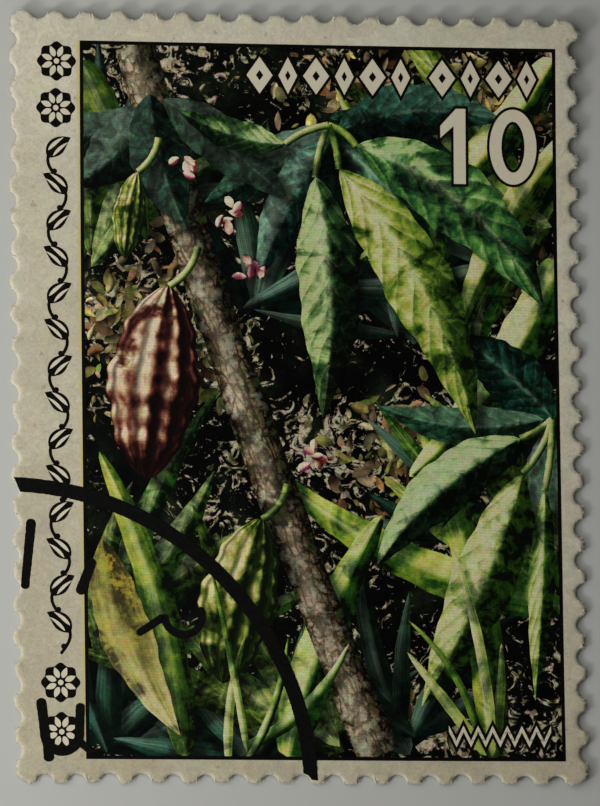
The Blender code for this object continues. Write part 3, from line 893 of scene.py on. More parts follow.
def sunlight(points, motif, garden):
    """Returns the share of sunlight that gets past the things in front of a motif."""
    passed = np.ones(len(points))
    box = (*points.min(axis=0), *points.max(axis=0))
    for other in garden[garden.index(motif) + 1:]:
        shift = SHADOW_SHIFT * other.height
        if other.meets(box, shift, 0.3):
            passed *= 1.0 - 0.78 * covered(points - shift, other, 0.10 + 0.16 * other.height)
    return passed


def motif_mesh(motif, garden):
    """Returns a motif's flat points, faces, Blade coordinates and tones."""
    rows, columns = motif.steps
    fractions = np.linspace(0.0, 1.0, rows + 1)
    if motif.section == "leaf":
        across = np.linspace(-1.0, 1.0, columns + 1)
    else:
        across = np.sin(np.linspace(-math.pi / 2, math.pi / 2, columns + 1))
    middle, side, heading = motif.spine(fractions)
    half = motif.half_width(fractions)
    points = middle[:, None, :] + side[:, None, :] * (half[:, None] * across[None, :])[:, :, None]
    u, v = np.meshgrid(fractions, across, indexing="ij")
    ridge = np.full(u.shape, motif.tint)
    if motif.section == "leaf":
        tilt = motif.fold * np.tanh(v * 6.0) + motif.curl * v
        rise = motif.lean + motif.droop * (u - 0.5)
    else:
        tilt = np.arcsin(np.clip(v, -1.0, 1.0)) * 0.92
        taper = np.gradient(half, fractions) / motif.length()
        rise = -np.arctan(taper)[:, None] * np.ones_like(v)
        if motif.section == "ribbed":
            ribs = 10.0
            angle = np.arcsin(np.clip(v, -1.0, 1.0))
            tilt = tilt + 0.55 * np.sin(ribs * angle + 0.6)
            ridge = 0.5 - 0.5 * np.cos(ribs * angle + 0.6 - math.pi)
    flat_side = np.concatenate((side, np.zeros((len(side), 1))), axis=1)[:, None, :]
    flat_ahead = np.concatenate((heading, np.zeros((len(heading), 1))), axis=1)[:, None, :]
    normal = flat_side * np.sin(tilt)[..., None] + flat_ahead * np.sin(rise)[..., None]
    normal = normal + UP * (np.cos(tilt) * np.cos(rise))[..., None]
    normal = normal / np.linalg.norm(normal, axis=2)[..., None]
    facing = np.clip(normal @ SUN, 0.0, 1.0)
    glare = np.clip(normal @ GLARE_HALF, 0.0, 1.0) ** 14
    passed = sunlight(points.reshape(-1, 2), motif, garden).reshape(u.shape)
    light = (0.04 + 1.14 * facing ** 1.10 * passed) * motif.gain
    bright = glare * passed * min(1.0, motif.gain)
    tones = np.stack((light, ridge, bright, np.ones_like(light)), axis=2).reshape(-1, 4)
    blade = np.stack((u, (v + 1.0) / 2.0), axis=2).reshape(-1, 2)
    wide = columns + 1
    faces = []
    for row in range(rows):
        for column in range(columns):
            first = row * wide + column
            faces.append([first, first + wide, first + wide + 1, first + 1])
    return points.reshape(-1, 2) * MM, faces, blade, tones


def clip_to_picture(mesh):
    """Cuts away whatever runs past the picture's edges."""
    shape = bmesh.new()
    shape.from_mesh(mesh)
    bmesh.ops.remove_doubles(shape, verts=shape.verts[:], dist=INK_STEP / 4)
    cuts = (
        (PICTURE_LOW, Vector((-1.0, 0.0, 0.0))), (PICTURE_LOW, Vector((0.0, -1.0, 0.0))),
        (PICTURE_HIGH, Vector((1.0, 0.0, 0.0))), (PICTURE_HIGH, Vector((0.0, 1.0, 0.0))))
    for corner, outward in cuts:
        everything = shape.verts[:] + shape.edges[:] + shape.faces[:]
        bmesh.ops.bisect_plane(
            shape, geom=everything, dist=1e-9, plane_co=corner, plane_no=outward, clear_outer=True)
    shape.to_mesh(mesh)
    shape.free()


def print_motifs(name, kind, garden, material, replaced):
    """Prints the garden's motifs of one kind as one piece, each at its own level of ink."""
    corners, faces, blades, tones = [], [], [], []
    for motif in (motif for motif in garden if motif.kind == kind):
        flat, own_faces, blade, tone = motif_mesh(motif, garden)
        first = len(corners)
        corners += lay(flat, motif.level)
        faces += [[first + corner for corner in face] for face in own_faces]
        blades.append(blade)
        tones.append(tone)
    piece = add_piece(name, corners, faces, material, replaced)
    mark_print(piece.data, np.vstack(blades), np.vstack(tones))
    clip_to_picture(piece.data)
    piece.data.shade_smooth()
    return piece


def mark_print(mesh, blade, tone):
    """Stores Blade coordinates and tones, given for each corner point, in a mesh."""
    layer = mesh.uv_layers.new(name="Blade")
    owners = np.empty(len(mesh.loops), dtype=int)
    mesh.loops.foreach_get("vertex_index", owners)
    layer.data.foreach_set("uv", blade[owners].astype(np.float32).ravel())
    colours = mesh.color_attributes.new("tone", "FLOAT_COLOR", "POINT")
    colours.data.foreach_set("color", tone.astype(np.float32).ravel())


def tuft(rng, kind, foot, spread, lengths, widths, count, aim, **settings):
    """Returns blades that fan out from one foot, about a bearing in degrees."""
    blades = []
    for index in range(count):
        share = (index + rng.uniform(0.2, 0.8)) / count - 0.5
        bearing = math.radians(aim + spread * share)
        length = rng.uniform(*lengths)
        start = (foot[0] + rng.uniform(-0.5, 0.5), foot[1] + rng.uniform(-0.5, 0.5))
        end = (start[0] + length * math.cos(bearing), start[1] + length * math.sin(bearing))
        blades.append(Motif(
            f"{kind}_{index}", kind, start, end, rng.uniform(-0.10, 0.10) * length, rng.uniform(*widths),
            fold=rng.uniform(0.2, 0.6), curl=rng.uniform(-0.3, 0.5), lean=rng.uniform(-0.25, 0.25),
            droop=rng.uniform(-0.9, 0.9), tint=rng.random(), **settings))
    rng.shuffle(blades)
    return blades


@lru_cache(maxsize=1)
def plan_garden():
    """Returns everything in the picture that has a middle line, from back to front."""
    rng = random.Random(SEED + 1)
    far = {"fullness": 0.8, "widest": 0.7, "steps": (20, 6), "height": 0.5}
    garden = []
    for foot, aim, count in (
            ((-8.0, 9.0), 80, 7), ((-2.0, 4.0), 60, 7), ((5.0, 3.0), 100, 7), ((10.0, -6.0), 110, 8),
            ((-9.0, -16.0), 70, 8), ((-2.0, -16.5), 100, 8), ((5.0, -16.0), 95, 8), ((9.0, 6.0), 120, 6)):
        garden += tuft(rng, "far_blade", foot, 150, (5.0, 10.0), (0.6, 1.5), count, aim,
                       gain=rng.uniform(0.35, 0.55), **far)
    near = {"fullness": 0.75, "widest": 0.65, "steps": (32, 8), "height": 0.9}
    for foot, aim, count, gain in (
            ((11.5, -9.0), 118, 5, 0.85), ((8.0, 2.0), 82, 5, 1.05), ((-9.6, -12.0), 52, 5, 0.46),
            ((2.0, -16.0), 128, 4, 0.55), ((-9.8, 6.0), 68, 4, 0.5), ((11.6, 8.5), 150, 4, 0.9)):
        garden += tuft(rng, "lime_blade", foot, 75, (8.0, 14.0), (0.9, 1.9), count, aim, gain=gain, **near)
    straps = (
        ((12.3, -9.6), (-1.2, -3.4), 1.1, 1.9, 0.90, 0.9),
        ((8.9, -16.6), (5.6, -0.8), -0.9, 1.7, 0.85, 0.7),
        ((-5.4, -16.6), (-9.2, -2.6), -0.7, 1.6, 0.54, 0.6),
        ((12.2, 15.9), (3.0, 6.4), 0.8, 1.8, 1.02, 0.8),
        ((-0.6, -16.6), (3.9, -5.4), 0.5, 2.1, 0.72, 1.0),
        ((-9.9, 15.4), (-6.9, 7.2), 0.3, 1.5, 0.36, 0.5),
        ((12.4, 6.6), (5.2, -3.6), 0.8, 2.2, 0.98, 0.9),
        ((12.4, 11.6), (7.4, 2.2), -0.6, 1.6, 0.85, 0.4))
    for number, (start, end, bulge, width, gain, tint) in enumerate(straps):
        garden.append(Motif(
            f"strap_{number}", "strap", start, end, bulge, width, fullness=0.5, widest=0.62, fold=0.5,
            curl=0.3, lean=0.1 * (-1) ** number, droop=0.5, tint=tint, gain=gain, steps=(60, 12)))
    garden.append(Motif(
        "trunk", "trunk", (3.60, -16.46), (-7.40, 16.13), 0.50, 1.90, section="round",
        tint=0.3, gain=0.88, height=1.1, steps=(110, 16)))
    for foot, aim, count, gain in (
            ((1.8, 12.6), 285, 6, 0.60), ((11.8, -0.6), 225, 5, 0.60), ((-6.4, 13.6), 250, 4, 0.36)):
        garden += tuft(rng, "shade_leaf", foot, 190, (5.0, 8.5), (1.8, 2.8), count, aim,
                       gain=gain, height=0.7, steps=(36, 12))
    garden += [
        Motif("leaf_edge", "lime_leaf", (11.50, -4.20), (10.90, -13.90), 0.05, 1.25,
              tint=0.7, droop=0.5, gain=0.9),
        Motif("leaf_foot", "lime_leaf", (10.50, -3.40), (5.60, -14.20), 0.30, 2.90,
              tint=0.6, droop=0.9, gain=0.88),
        Motif("leaf_low", "deep_leaf", (10.40, -1.80), (3.60, -7.80), -0.70, 2.50, tint=0.4, droop=0.7),
        Motif("leaf_short", "deep_leaf", (-0.40, 11.70), (-5.40, 13.20), 0.30, 1.50,
              tint=0.3, droop=-0.4, gain=0.85),
        Motif("leaf_inner", "deep_leaf", (1.00, 10.20), (1.20, -0.90), 0.50, 2.90, tint=0.2, droop=0.9),
        Motif("leaf_middle", "lime_leaf", (2.10, 10.60), (8.30, -1.60), 0.90, 3.20, tint=0.5, droop=0.8),
        Motif("leaf_upper", "deep_leaf", (2.90, 11.70), (11.60, 4.30), 1.20, 3.30,
              tint=0.6, droop=0.6, gain=1.2),
        Motif("leaf_dried", "dried_leaf", (-9.10, -6.60), (-5.60, -15.60), -0.60, 2.40,
              tint=0.5, droop=-0.8, fold=0.6, curl=-0.5, gain=0.70),
        Motif("pod_young", "green_pod", (-7.30, 10.30), (-7.90, 6.30), -0.10, 1.50, section="ribbed",
              fullness=0.62, widest=1.0, steps=(30, 30), height=0.9),
        Motif("pod_green", "green_pod", (-1.70, -5.60), (-3.60, -13.20), -0.20, 3.50, section="ribbed",
              fullness=0.62, widest=1.0, steps=(60, 48), height=1.5, gain=0.88),
        Motif("pod_ripe", "ripe_pod", (-5.90, 5.10), (-7.00, -3.90), -0.20, 4.20, section="ribbed",
              fullness=0.62, widest=1.0, steps=(64, 56), height=1.7),
    ]
    for number, (start, end, bulge) in enumerate((
            ((-4.5, 6.9), (-5.86, 5.05), 0.25), ((-0.5, -4.0), (-1.68, -5.65), 0.25),
            ((-6.3, 11.9), (-7.28, 10.3), 0.2),
            ((1.6, 12.6), (2.9, 11.7), 0.15), ((1.6, 12.6), (2.1, 10.6), 0.1),
            ((1.6, 12.6), (1.0, 10.2), -0.1), ((1.6, 12.6), (-0.4, 11.7), -0.15),
            ((11.9, -0.9), (10.4, -1.8), 0.1), ((11.9, -0.9), (10.5, -3.4), 0.2),
            ((11.9, -0.9), (11.5, -4.2), 0.1))):
        garden.append(Motif(
            f"stalk_{number}", "stalk", start, end, bulge, 0.34, section="round", tint=0.5, gain=0.9,
            height=0.4, steps=(14, 6)))
    for foot, aim, count in (((-3.0, -16.6), 75, 4), ((8.5, -16.6), 105, 4)):
        garden += tuft(rng, "grass", foot, 70, (5.0, 10.0), (0.30, 0.62), count, aim,
                       gain=0.9, height=0.5, fullness=0.5, widest=0.6, steps=(26, 4))
    for foot in ((-3.1, 8.4), (-1.9, 5.7), (0.6, -2.6), (-4.9, 10.6)):
        garden += tuft(rng, "flower", foot, 360, (0.50, 0.75), (0.30, 0.42), 6, rng.uniform(0, 360),
                       gain=1.1, height=0.3, fullness=0.6, widest=1.2, steps=(8, 4))
    return stacked(litter(rng) + garden)


def litter(rng):
    """Returns dry leaf litter in drifts, each flake turned its own way."""
    drifts = (
        ((6.0, 13.8), (6.4, 2.2), 300), ((9.8, 7.0), (2.2, 3.2), 90), ((-7.2, 3.4), (3.2, 4.4), 240),
        ((4.6, -2.6), (3.0, 3.0), 130), ((1.5, -14.8), (6.0, 1.4), 110), ((-3.4, 1.6), (1.8, 2.6), 50))
    flakes = []
    for centre, spread, count in drifts:
        for index in range(count):
            bearing, length = rng.uniform(0, 2 * math.pi), rng.uniform(0.28, 1.05)
            start = (rng.gauss(centre[0], spread[0] / 2), rng.gauss(centre[1], spread[1] / 2))
            end = (start[0] + length * math.cos(bearing), start[1] + length * math.sin(bearing))
            flakes.append(Motif(
                f"flake_{index}", "litter", start, end, rng.uniform(-0.15, 0.15) * length,
                length * rng.uniform(0.25, 0.60),
                fullness=rng.uniform(0.4, 0.9), widest=rng.uniform(0.6, 1.2),
                fold=rng.uniform(-0.5, 0.6), curl=rng.uniform(-0.9, 0.9), lean=rng.uniform(-0.7, 0.7),
                droop=rng.uniform(-1.0, 1.0), tint=rng.random(), gain=rng.uniform(0.5, 1.8), height=0.22,
                steps=(6, 4)))
    return flakes


def stacked(garden):
    """Gives each thing the lowest level that lies over all that it crosses."""
    for index, motif in enumerate(garden):
        under = [other.level for other in garden[:index] if other.meets(motif.box) and motif.crosses(other)]
        motif.level = max(under, default=LEVEL_GARDEN - 1) + 1
    return garden


BLUE_GREEN = shades("#020403 #07180F #164730 #3A7A54 #84AC86")
DEEP = shades("#030603 #0D2010 #275226 #5F8F3E #AABC7C", (0.0, 0.22, 0.5, 0.75, 1.0))
LIME = shades("#050A03 #24400F #627F26 #A3AB42 #C6C58A")
STRAW = shades("#0A0804 #40391C #8F883E #BDB26C #CCC39A")
GOLD = shades("#060A03 #2C4A14 #7C8F28 #B9B440 #CCC88C", (0.0, 0.22, 0.45, 0.7, 1.0))
RIPE = shades("#0E0605 #3C1A16 #7A4535 #B08A68 #D6C4A2")
UNRIPE = shades("#0A1006 #2C4015 #6D7C2E #A8A552 #D2CC92")
PETAL = shades("#2A0A10 #8A3440 #C59A8C #DCCFB4", (0.0, 0.35, 0.65, 1.0))

# For each kind of thing: its piece, its slot, the nodes it stands for, and its finish
# with what that takes.
PICTURE_PIECES = {
    "litter": ("leaf_litter", "straw_print", (), litter_finish, ()),
    "far_blade": ("far_leaves", "leaf_print", (),
                  streak_finish, ("offset_print_far_leaves", BLUE_GREEN, "#9DB59B")),
    "lime_blade": ("lime_blades", "leaf_print", (),
                   leaf_finish, ("offset_print_lime_blade", LIME, "#C6C584", "#CCC9A8")),
    "shade_leaf": ("shaded_leaves", "leaf_print", (),
                   leaf_finish, ("offset_print_shaded_leaves", BLUE_GREEN, "#6F9A78", "#A9BDA4")),
    "trunk": ("cocoa_trunk", "bark_print", ("trunk",), bark_finish, ()),
    "deep_leaf": ("green_leaves", "leaf_print", ("leaf_low", "leaf_short", "leaf_inner", "leaf_upper"),
                  leaf_finish, ("offset_print_green_leaves", DEEP, "#A8BB78", "#C2C7A6")),
    "lime_leaf": ("lime_leaves", "leaf_print", ("leaf_edge", "leaf_foot", "leaf_middle"),
                  leaf_finish, ("offset_print_lime_leaf", LIME, "#C6C584", "#CCC9A8")),
    "strap": ("strap_leaves", "leaf_print", (),
              streak_finish, ("offset_print_strap_leaves", GOLD, "#CCC9A8", 3.0)),
    "dried_leaf": ("dried_leaf", "straw_print", ("leaf_dried",),
                   streak_finish, ("offset_print_dried_leaf", STRAW, "#CCC4A0", 7.0, "#A8962F")),
    "stalk": ("stalks", "leaf_print", (), streak_finish, ("offset_print_stalk", LIME, "#CCC9A8")),
    "flower": ("trunk_flowers", "pod_print", (),
               streak_finish, ("offset_print_flowers", PETAL, "#CEC5A8")),
    "green_pod": ("green_pods", "pod_print", ("pod_young", "pod_green"),
                  pod_finish, ("offset_print_green_pod", UNRIPE, "#182408", "#CCC8A4")),
    "ripe_pod": ("ripe_pod", "pod_print", ("pod_ripe",),
                 pod_finish, ("offset_print_ripe_pod", RIPE, "#1C0B0A", "#CEC5A8")),
    "grass": ("grass_blades", "leaf_print", (), streak_finish, ("offset_print_grass", LIME, "#CCC9A8")),
}


# ---------------------------------------------------------------- flat print


def print_flat(name, shapes, level, material, replaced=()):
    """Prints flat shapes, each an outline and its holes, as one piece.

    Every shape lies a little over or under its neighbours in the list, as they may cross.
    """
    corners, faces = [], []
    for index, loops in enumerate(shapes):
        flat, own_faces, _ = fill_outline(loops, 0.45 * MM)
        first = len(corners)
        over = 0.25 * (1 + (index - 1) % 3) if index else 0.0
        corners += lay(flat, (level(flat) if callable(level) else level) + over)
        faces += [[first + corner for corner in face] for face in own_faces]
    return add_piece(name, corners, faces, material, replaced)


def rectangle(low, high):
    """Returns the corners of a rectangle, turning left."""
    return [Vector(low[:2]), Vector((high[0], low[1])), Vector(high[:2]), Vector((low[0], high[1]))]


def grown(loop, distance):
    """Moves a closed loop outward, to the right of its travel."""
    corners = [Vector(corner) for corner in loop]
    moved = []
    for before, corner, after in zip(corners[-1:] + corners[:-1], corners, corners[1:] + corners[:1]):
        first, second = (corner - before).normalized(), (after - corner).normalized()
        out_first, out_second = Vector((first.y, -first.x)), Vector((second.y, -second.x))
        middle = out_first + out_second
        moved.append(corner + middle * distance / max(0.35, 1.0 + out_first.dot(out_second)))
    return moved


def ring_of(centre, radius, steps, ripple=0.0, waves=1, stretch=1.0, clockwise=False):
    """Returns a closed ring about a centre, rippled and stretched upward on request."""
    ring = []
    for step in range(steps):
        turn = 2 * math.pi * step / steps * (-1.0 if clockwise else 1.0)
        reach = radius * (1.0 + ripple * math.cos(waves * turn))
        across, up = reach * math.cos(turn), stretch * reach * math.sin(turn)
        ring.append(Vector((centre[0] + across, centre[1] + up)))
    return ring


def stroke_outline(spine, widths, feather=0.0, rng=None):
    """Returns the outline of a stroke with round ends, turning left."""
    spine = [Vector(point) for point in spine]
    right, left = [], []
    for index, point in enumerate(spine):
        ahead = (spine[min(index + 1, len(spine) - 1)] - spine[max(index - 1, 0)]).normalized()
        normal = left_of(ahead)
        for side, sign in ((right, -1.0), (left, 1.0)):
            rough = rng.gauss(0.0, feather) if rng else 0.0
            side.append(point + normal * sign * (widths[index] / 2 + rough))
    return right + end_cap(right[-1], left[-1]) + left[::-1] + end_cap(left[0], right[0])


def end_cap(start, end, steps=6):
    """Returns the points of a half round that leaves one point and reaches another."""
    middle, arm = (start + end) / 2, (start - end) / 2
    turns = [math.pi * step / steps for step in range(1, steps)]
    return [middle + arm * math.cos(turn) + left_of(arm) * math.sin(turn) * 0.8 for turn in turns]


def bent_line(start, end, bulge, steps=18):
    """Returns points from start to end on a parabola that bulges to the left."""
    start, end = Vector(start), Vector(end)
    sideways = Vector((start.y - end.y, end.x - start.x)).normalized()
    fractions = [step / steps for step in range(steps + 1)]
    return [start.lerp(end, t) + sideways * (4 * bulge * t * (1 - t)) for t in fractions]


def leaf_outline(start, end, bulge, width):
    """Returns the outline of a small pointed leaf, turning left."""
    spine = bent_line(start, end, bulge, 14)
    halves = [width / 2 * math.sin(math.pi * (index / 14) ** 0.8) ** 0.9 for index in range(15)]
    side = []
    for index in range(1, 14):
        ahead = (spine[index + 1] - spine[index - 1]).normalized()
        side.append(left_of(ahead) * halves[index])
    right = [point - reach for point, reach in zip(spine[1:-1], side)]
    left = [point + reach for point, reach in zip(spine[1:-1], side)]
    return [spine[0]] + right + [spine[-1]] + left[::-1]


def middle_of(node):
    """Returns the middle and the size of a node of the frame."""
    low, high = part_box(node)
    return (low + high) / 2, high - low


def number_loops():
    """Returns the loops of the plain number: a one with its flag, and a zero."""
    centre, size = middle_of("number_one")
    stroke, drop, half = 0.56 * MM, 0.80 * MM, size.y / 2
    stem = Vector((centre.x + size.x / 2 - stroke / 2, centre.y))
    flag = stem.x - centre.x + size.x / 2
    one = [(stroke / 2, -half), (stroke / 2, half), (-stroke * 0.3, half), (-flag, half - drop),
           (-flag, half - drop - stroke), (-stroke / 2, half - drop), (-stroke / 2, -half)]
    one = [stem + Vector(corner) for corner in one]
    centre, size = middle_of("number_zero")
    outer = ring_of(centre, size.x / 2, 64, stretch=size.y / size.x)
    inner_width, inner_height = size.x - 2 * stroke, size.y - 2 * stroke
    inner = ring_of(centre, inner_width / 2, 48, stretch=inner_height / inner_width, clockwise=True)
    return [[one], [outer, inner]]


def vine_point(fraction):
    """Returns a point on the vine's stem, from its foot to its top."""
    sway = 0.42 * MM * math.sin(2 * math.pi * 7 * fraction)
    return Vector((-11.03 * MM + sway, (-11.85 + 23.50 * fraction) * MM))


def vine_shapes():
    """Returns the side vine in black, and the bare light in each half of its leaves.

    The stem is waved, with a leaf and a berry on its thread in each hollow.
    """
    stem = [vine_point(step / 140) for step in range(141)]
    black = [[stroke_outline(stem, [0.15 * MM] * 141)]]
    lights = []
    for hollow in range(14):
        foot = vine_point((hollow + 0.55) / 14)
        side = -1.0 if hollow % 2 == 0 else 1.0
        along = Vector((side * 0.75, 0.66)).normalized()
        tip = foot + along * 1.42 * MM
        black.append([leaf_outline(foot, tip, side * 0.12 * MM, 0.80 * MM)])
        berry = foot + Vector((side * 0.30, -0.62)) * MM
        black.append([ring_of(berry, 0.13 * MM, 14)])
        black.append([stroke_outline(bent_line(foot, berry, -side * 0.08 * MM, 6), [0.055 * MM] * 7)])
        across = left_of(along) * side
        for beside, reach in ((0.245, 0.17), (-0.10, 0.15)):
            shift = across * beside * MM
            root, point = foot.lerp(tip, 0.16) + shift, foot.lerp(tip, 0.84) + shift * 0.9
            lights.append([leaf_outline(root, point, side * 0.05 * MM, reach * MM)])
    return black, lights


def rosette_shapes(cream):
    """Returns the black grounds of the four rosettes, or the bare petals that lie on them."""
    shapes = []
    for number in range(1, 5):
        centre, size = middle_of(f"rosette_{number}")
        radius = size.x / 2
        if not cream:
            shapes.append([ring_of(centre, radius * 0.93, 96, 0.075, 8)])
            continue
        for petal in range(8):
            turn = 2 * math.pi * (petal + 0.5) / 8
            heading = heading_at(turn) * radius
            foot = centre.xy + heading * 0.24
            shapes.append([leaf_outline(foot, centre.xy + heading * 0.82, 0.0, 0.29 * radius)])
        shapes.append([ring_of(centre, 0.14 * radius, 16)])
    return shapes


def title_shapes():
    """Returns the lozenges of the title row and the black eye of each."""
    lozenges, eyes = [], []
    for number in range(1, 11):
        centre, size = middle_of(f"title_lozenge_{number:02d}")
        lozenges.append([ring_of(centre, size.x / 2, 4, stretch=size.y / size.x)])
        eyes.append([ring_of(centre, size.x / 7, 4, stretch=size.y / size.x)])
    return lozenges, eyes


def zigzag_shape():
    """Returns the zigzag at the picture's foot, with its ends cut upright."""
    low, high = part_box("foot_zigzag")
    turns, upright = 14, 0.30 * MM
    step = (high.x - low.x) / turns
    ups = [low.y + upright / 2 if turn % 2 else high.y - upright / 2 for turn in range(turns + 1)]
    spine = [Vector((low.x + step * turn, up)) for turn, up in enumerate(ups)]
    rise = Vector((0.0, upright / 2))
    return [[[point - rise for point in spine] + [point + rise for point in reversed(spine)]]]


# ---------------------------------------------------------------- postmark


def postmark_level(flat):
    """Returns the ink level at each point: over the picture's stack, or on bare paper."""
    inside_x = np.clip((flat[:, 0] - KEYLINE_LOW.x) / (0.70 * MM) + 1.0, 0.0, 1.0)
    inside_y = np.clip((flat[:, 1] - KEYLINE_LOW.y) / (0.60 * MM) + 1.0, 0.0, 1.0)
    return LEVEL_MARGIN + 4 + (LEVEL_POSTMARK - LEVEL_MARGIN - 4) * inside_x * inside_y


def arc(centre, radius, start, end, steps):
    """Returns points along part of a circle, between two bearings in degrees."""
    turns = [math.radians(start + (end - start) * step / steps) for step in range(steps + 1)]
    return [(Vector(centre) + heading_at(turn) * radius) * MM for turn in turns]


def strike_strokes(feather):
    """Returns each postmark stroke's node and its outlines."""
    rng = random.Random(SEED + 5)
    blot = [Vector((-11.80, -15.60)) * MM, Vector((-11.66, -16.62)) * MM]
    tail = [Vector((-10.36, -15.84)) * MM, Vector((-9.74, -16.37)) * MM]
    bowl = arc((-11.04, -15.55), 0.78, 180, 360, 48)
    cup = [Vector((-11.98, -14.10)) * MM, *bowl, Vector((-10.20, -14.30)) * MM]
    legs = {
        "postmark_bar": bent_line((-12.36 * MM, -5.90 * MM), (-12.67 * MM, -8.78 * MM), 0.0, 40),
        "postmark_dash": bent_line((-9.60 * MM, -7.70 * MM), (-10.12 * MM, -9.00 * MM), 0.0, 24),
        "postmark_tick": bent_line((-7.44 * MM, -10.90 * MM), (-6.42 * MM, -10.24 * MM), 0.0, 20),
        "postmark_hook": arc((-5.40, -10.12), 0.86, 184, 380, 60),
        "postmark_cup": (
            bent_line(cup[0], cup[1], 0.0, 24) + cup[2:-2] + bent_line(cup[-2], cup[-1], 0.0, 20)),
    }
    widths = {"postmark_bar": (0.46, 0.40), "postmark_dash": (0.46, 0.46), "postmark_tick": (0.34, 0.38),
              "postmark_hook": (0.36, 0.34), "postmark_cup": (0.48, 0.42)}
    outlines = {}
    for node, spine in legs.items():
        first, last = widths[node]
        breadths = [(first + (last - first) * index / (len(spine) - 1)) * MM for index in range(len(spine))]
        outlines[node] = [stroke_outline(spine, breadths, feather, rng)]
    for ends, thick in ((blot, (0.40, 0.50)), (tail, (0.40, 0.30))):
        spine = bent_line(ends[0], ends[1], 0.02 * MM, 16)
        breadths = [(thick[0] + (thick[1] - thick[0]) * index / 15) * MM for index in range(len(spine))]
        outlines["postmark_cup"].append(stroke_outline(spine, breadths, feather, rng))
    outer = arc((-13.46, -18.02), 14.20, 88.7, 1.7, 240)
    foot = arc((0.0, -SHEET_HEIGHT / 2 / MM), HOLE_RADIUS / MM + 0.03, 24, 78, 12)
    inner = arc((-13.46, -18.02), 13.54, 3.1, 87.4, 240)
    ring = [point + Vector((rng.gauss(0.0, feather), rng.gauss(0.0, feather)))
            for point in outer + foot + inner]
    outlines["postmark_ring"] = [ring[::-1]]
    return outlines


# ---------------------------------------------------------------- stage


def point_at(item, target):
    """Turns a light to shine at a point."""
    view = Vector(target) - item.location
    item.rotation_euler = view.to_track_quat("-Z", "Y").to_matrix().to_euler()


# ---------------------------------------------------------------- operators


class STAMP_OT_paper(bpy.types.Operator):
    """Builds the perforated sheet with its torn teeth"""

    bl_idname = "stamp.paper"
    bl_label = "Paper"

    def execute(self, context):
        settings = context.scene.stamp_paper
        build_sheet_mesh(paper_finish(settings), back_finish(settings))
        build_fibres(plain_finish("torn_paper_fibre", settings.fibre, 0.9, 0.2), 1200)
        return {"FINISHED"}


class STAMP_OT_panel(bpy.types.Operator):
    """Prints the panel: its keyline, the dark ground and the yellow out of register"""

    bl_idname = "stamp.panel"
    bl_label = "Panel"

    def execute(self, context):
        settings = context.scene.stamp_print
        black = flat_ink_finish("offset_black_keyline", settings.black, "#100E0C", 0.5, 6.0, 0.004 * MM)
        low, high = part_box("yellow_fringe")
        yellow = fringe_finish(context.scene.stamp_paper, settings.yellow, low)
        whole = rectangle(KEYLINE_LOW, KEYLINE_HIGH)
        inner = rectangle(PICTURE_LOW, PICTURE_HIGH)
        print_flat("keyline_print", [[whole, inner[::-1]]], LEVEL_MARGIN, black, ["keyline"])
        print_flat("picture_shade", [[inner]], LEVEL_GROUND, ground_finish(settings.screen),
                   ["picture_ground"])
        print_flat("yellow_fringe_print", [[rectangle(low, high)]], LEVEL_MARGIN, yellow,
                   ["yellow_fringe"])
        return {"FINISHED"}


class STAMP_OT_picture(bpy.types.Operator):
    """Prints one kind of thing in the picture"""

    bl_idname = "stamp.picture"
    bl_label = "Picture"

    kind: StringProperty(name="Kind", description="Which things to print", default="litter")

    def execute(self, context):
        name, slot, replaced, finish, details = PICTURE_PIECES[self.kind]
        material = finish(context.scene.stamp_print.screen, *details)
        print_motifs(name, self.kind, plan_garden(), material, replaced)
        return {"FINISHED"}


class STAMP_OT_ornaments(bpy.types.Operator):
    """Prints the vine, the rosettes, the title row, the number and the zigzag"""

    bl_idname = "stamp.ornaments"
    bl_label = "Ornaments"

    def execute(self, context):
        settings = context.scene.stamp_print
        black = flat_ink_finish("offset_black_line", settings.black, "#2A2620", 0.5, 6.0, 0.004 * MM)
        bare = flat_ink_finish("bare_paper_in_print", settings.bare, "#B8AD8C", 0.7, 3.0, 0.006 * MM)
        vine, lights = vine_shapes()
        print_flat("vine", vine, LEVEL_MARGIN, black, ["side_vine"])
        print_flat("vine_leaf_lights", lights, LEVEL_MARGIN + 1, bare)
        print_flat("rosettes", rosette_shapes(False), LEVEL_MARGIN, black,
                   [f"rosette_{number}" for number in range(1, 5)])
        print_flat("rosette_petals", rosette_shapes(True), LEVEL_MARGIN + 1, bare)
        lozenges, eyes = title_shapes()
        digits = number_loops()
        zigzag = zigzag_shape()
        edges = [[grown(loop, settings.outline) for loop in loops] for loops in lozenges + digits + zigzag]
        print_flat("ornament_outlines", edges, LEVEL_ORNAMENTS, black)
        print_flat("title_lozenges", lozenges, LEVEL_ORNAMENTS + 1, bare,
                   [f"title_lozenge_{number:02d}" for number in range(1, 11)])
        print_flat("title_eyes", eyes, LEVEL_ORNAMENTS + 2, black)
        print_flat("number_ten", digits, LEVEL_ORNAMENTS + 1, bare,
                   ["number_one", "number_zero"])
        print_flat("foot_zigzag_print", zigzag, LEVEL_ORNAMENTS + 1, bare, ["foot_zigzag"])
        return {"FINISHED"}


class STAMP_OT_postmark(bpy.types.Operator):
    """Strikes the postmark's ring and strokes"""

    bl_idname = "stamp.postmark"
    bl_label = "Postmark"

    def execute(self, context):
        settings = context.scene.stamp_postmark
        ink = flat_ink_finish("stamping_ink", settings.ink, "#1D1B18", 0.6, 5.0, 0.004 * MM)
        for node, outlines in strike_strokes(settings.feather).items():
            strokes = [[outline] for outline in outlines]
            print_flat(f"{node}_ink", strokes, postmark_level, ink, [node])
        return {"FINISHED"}


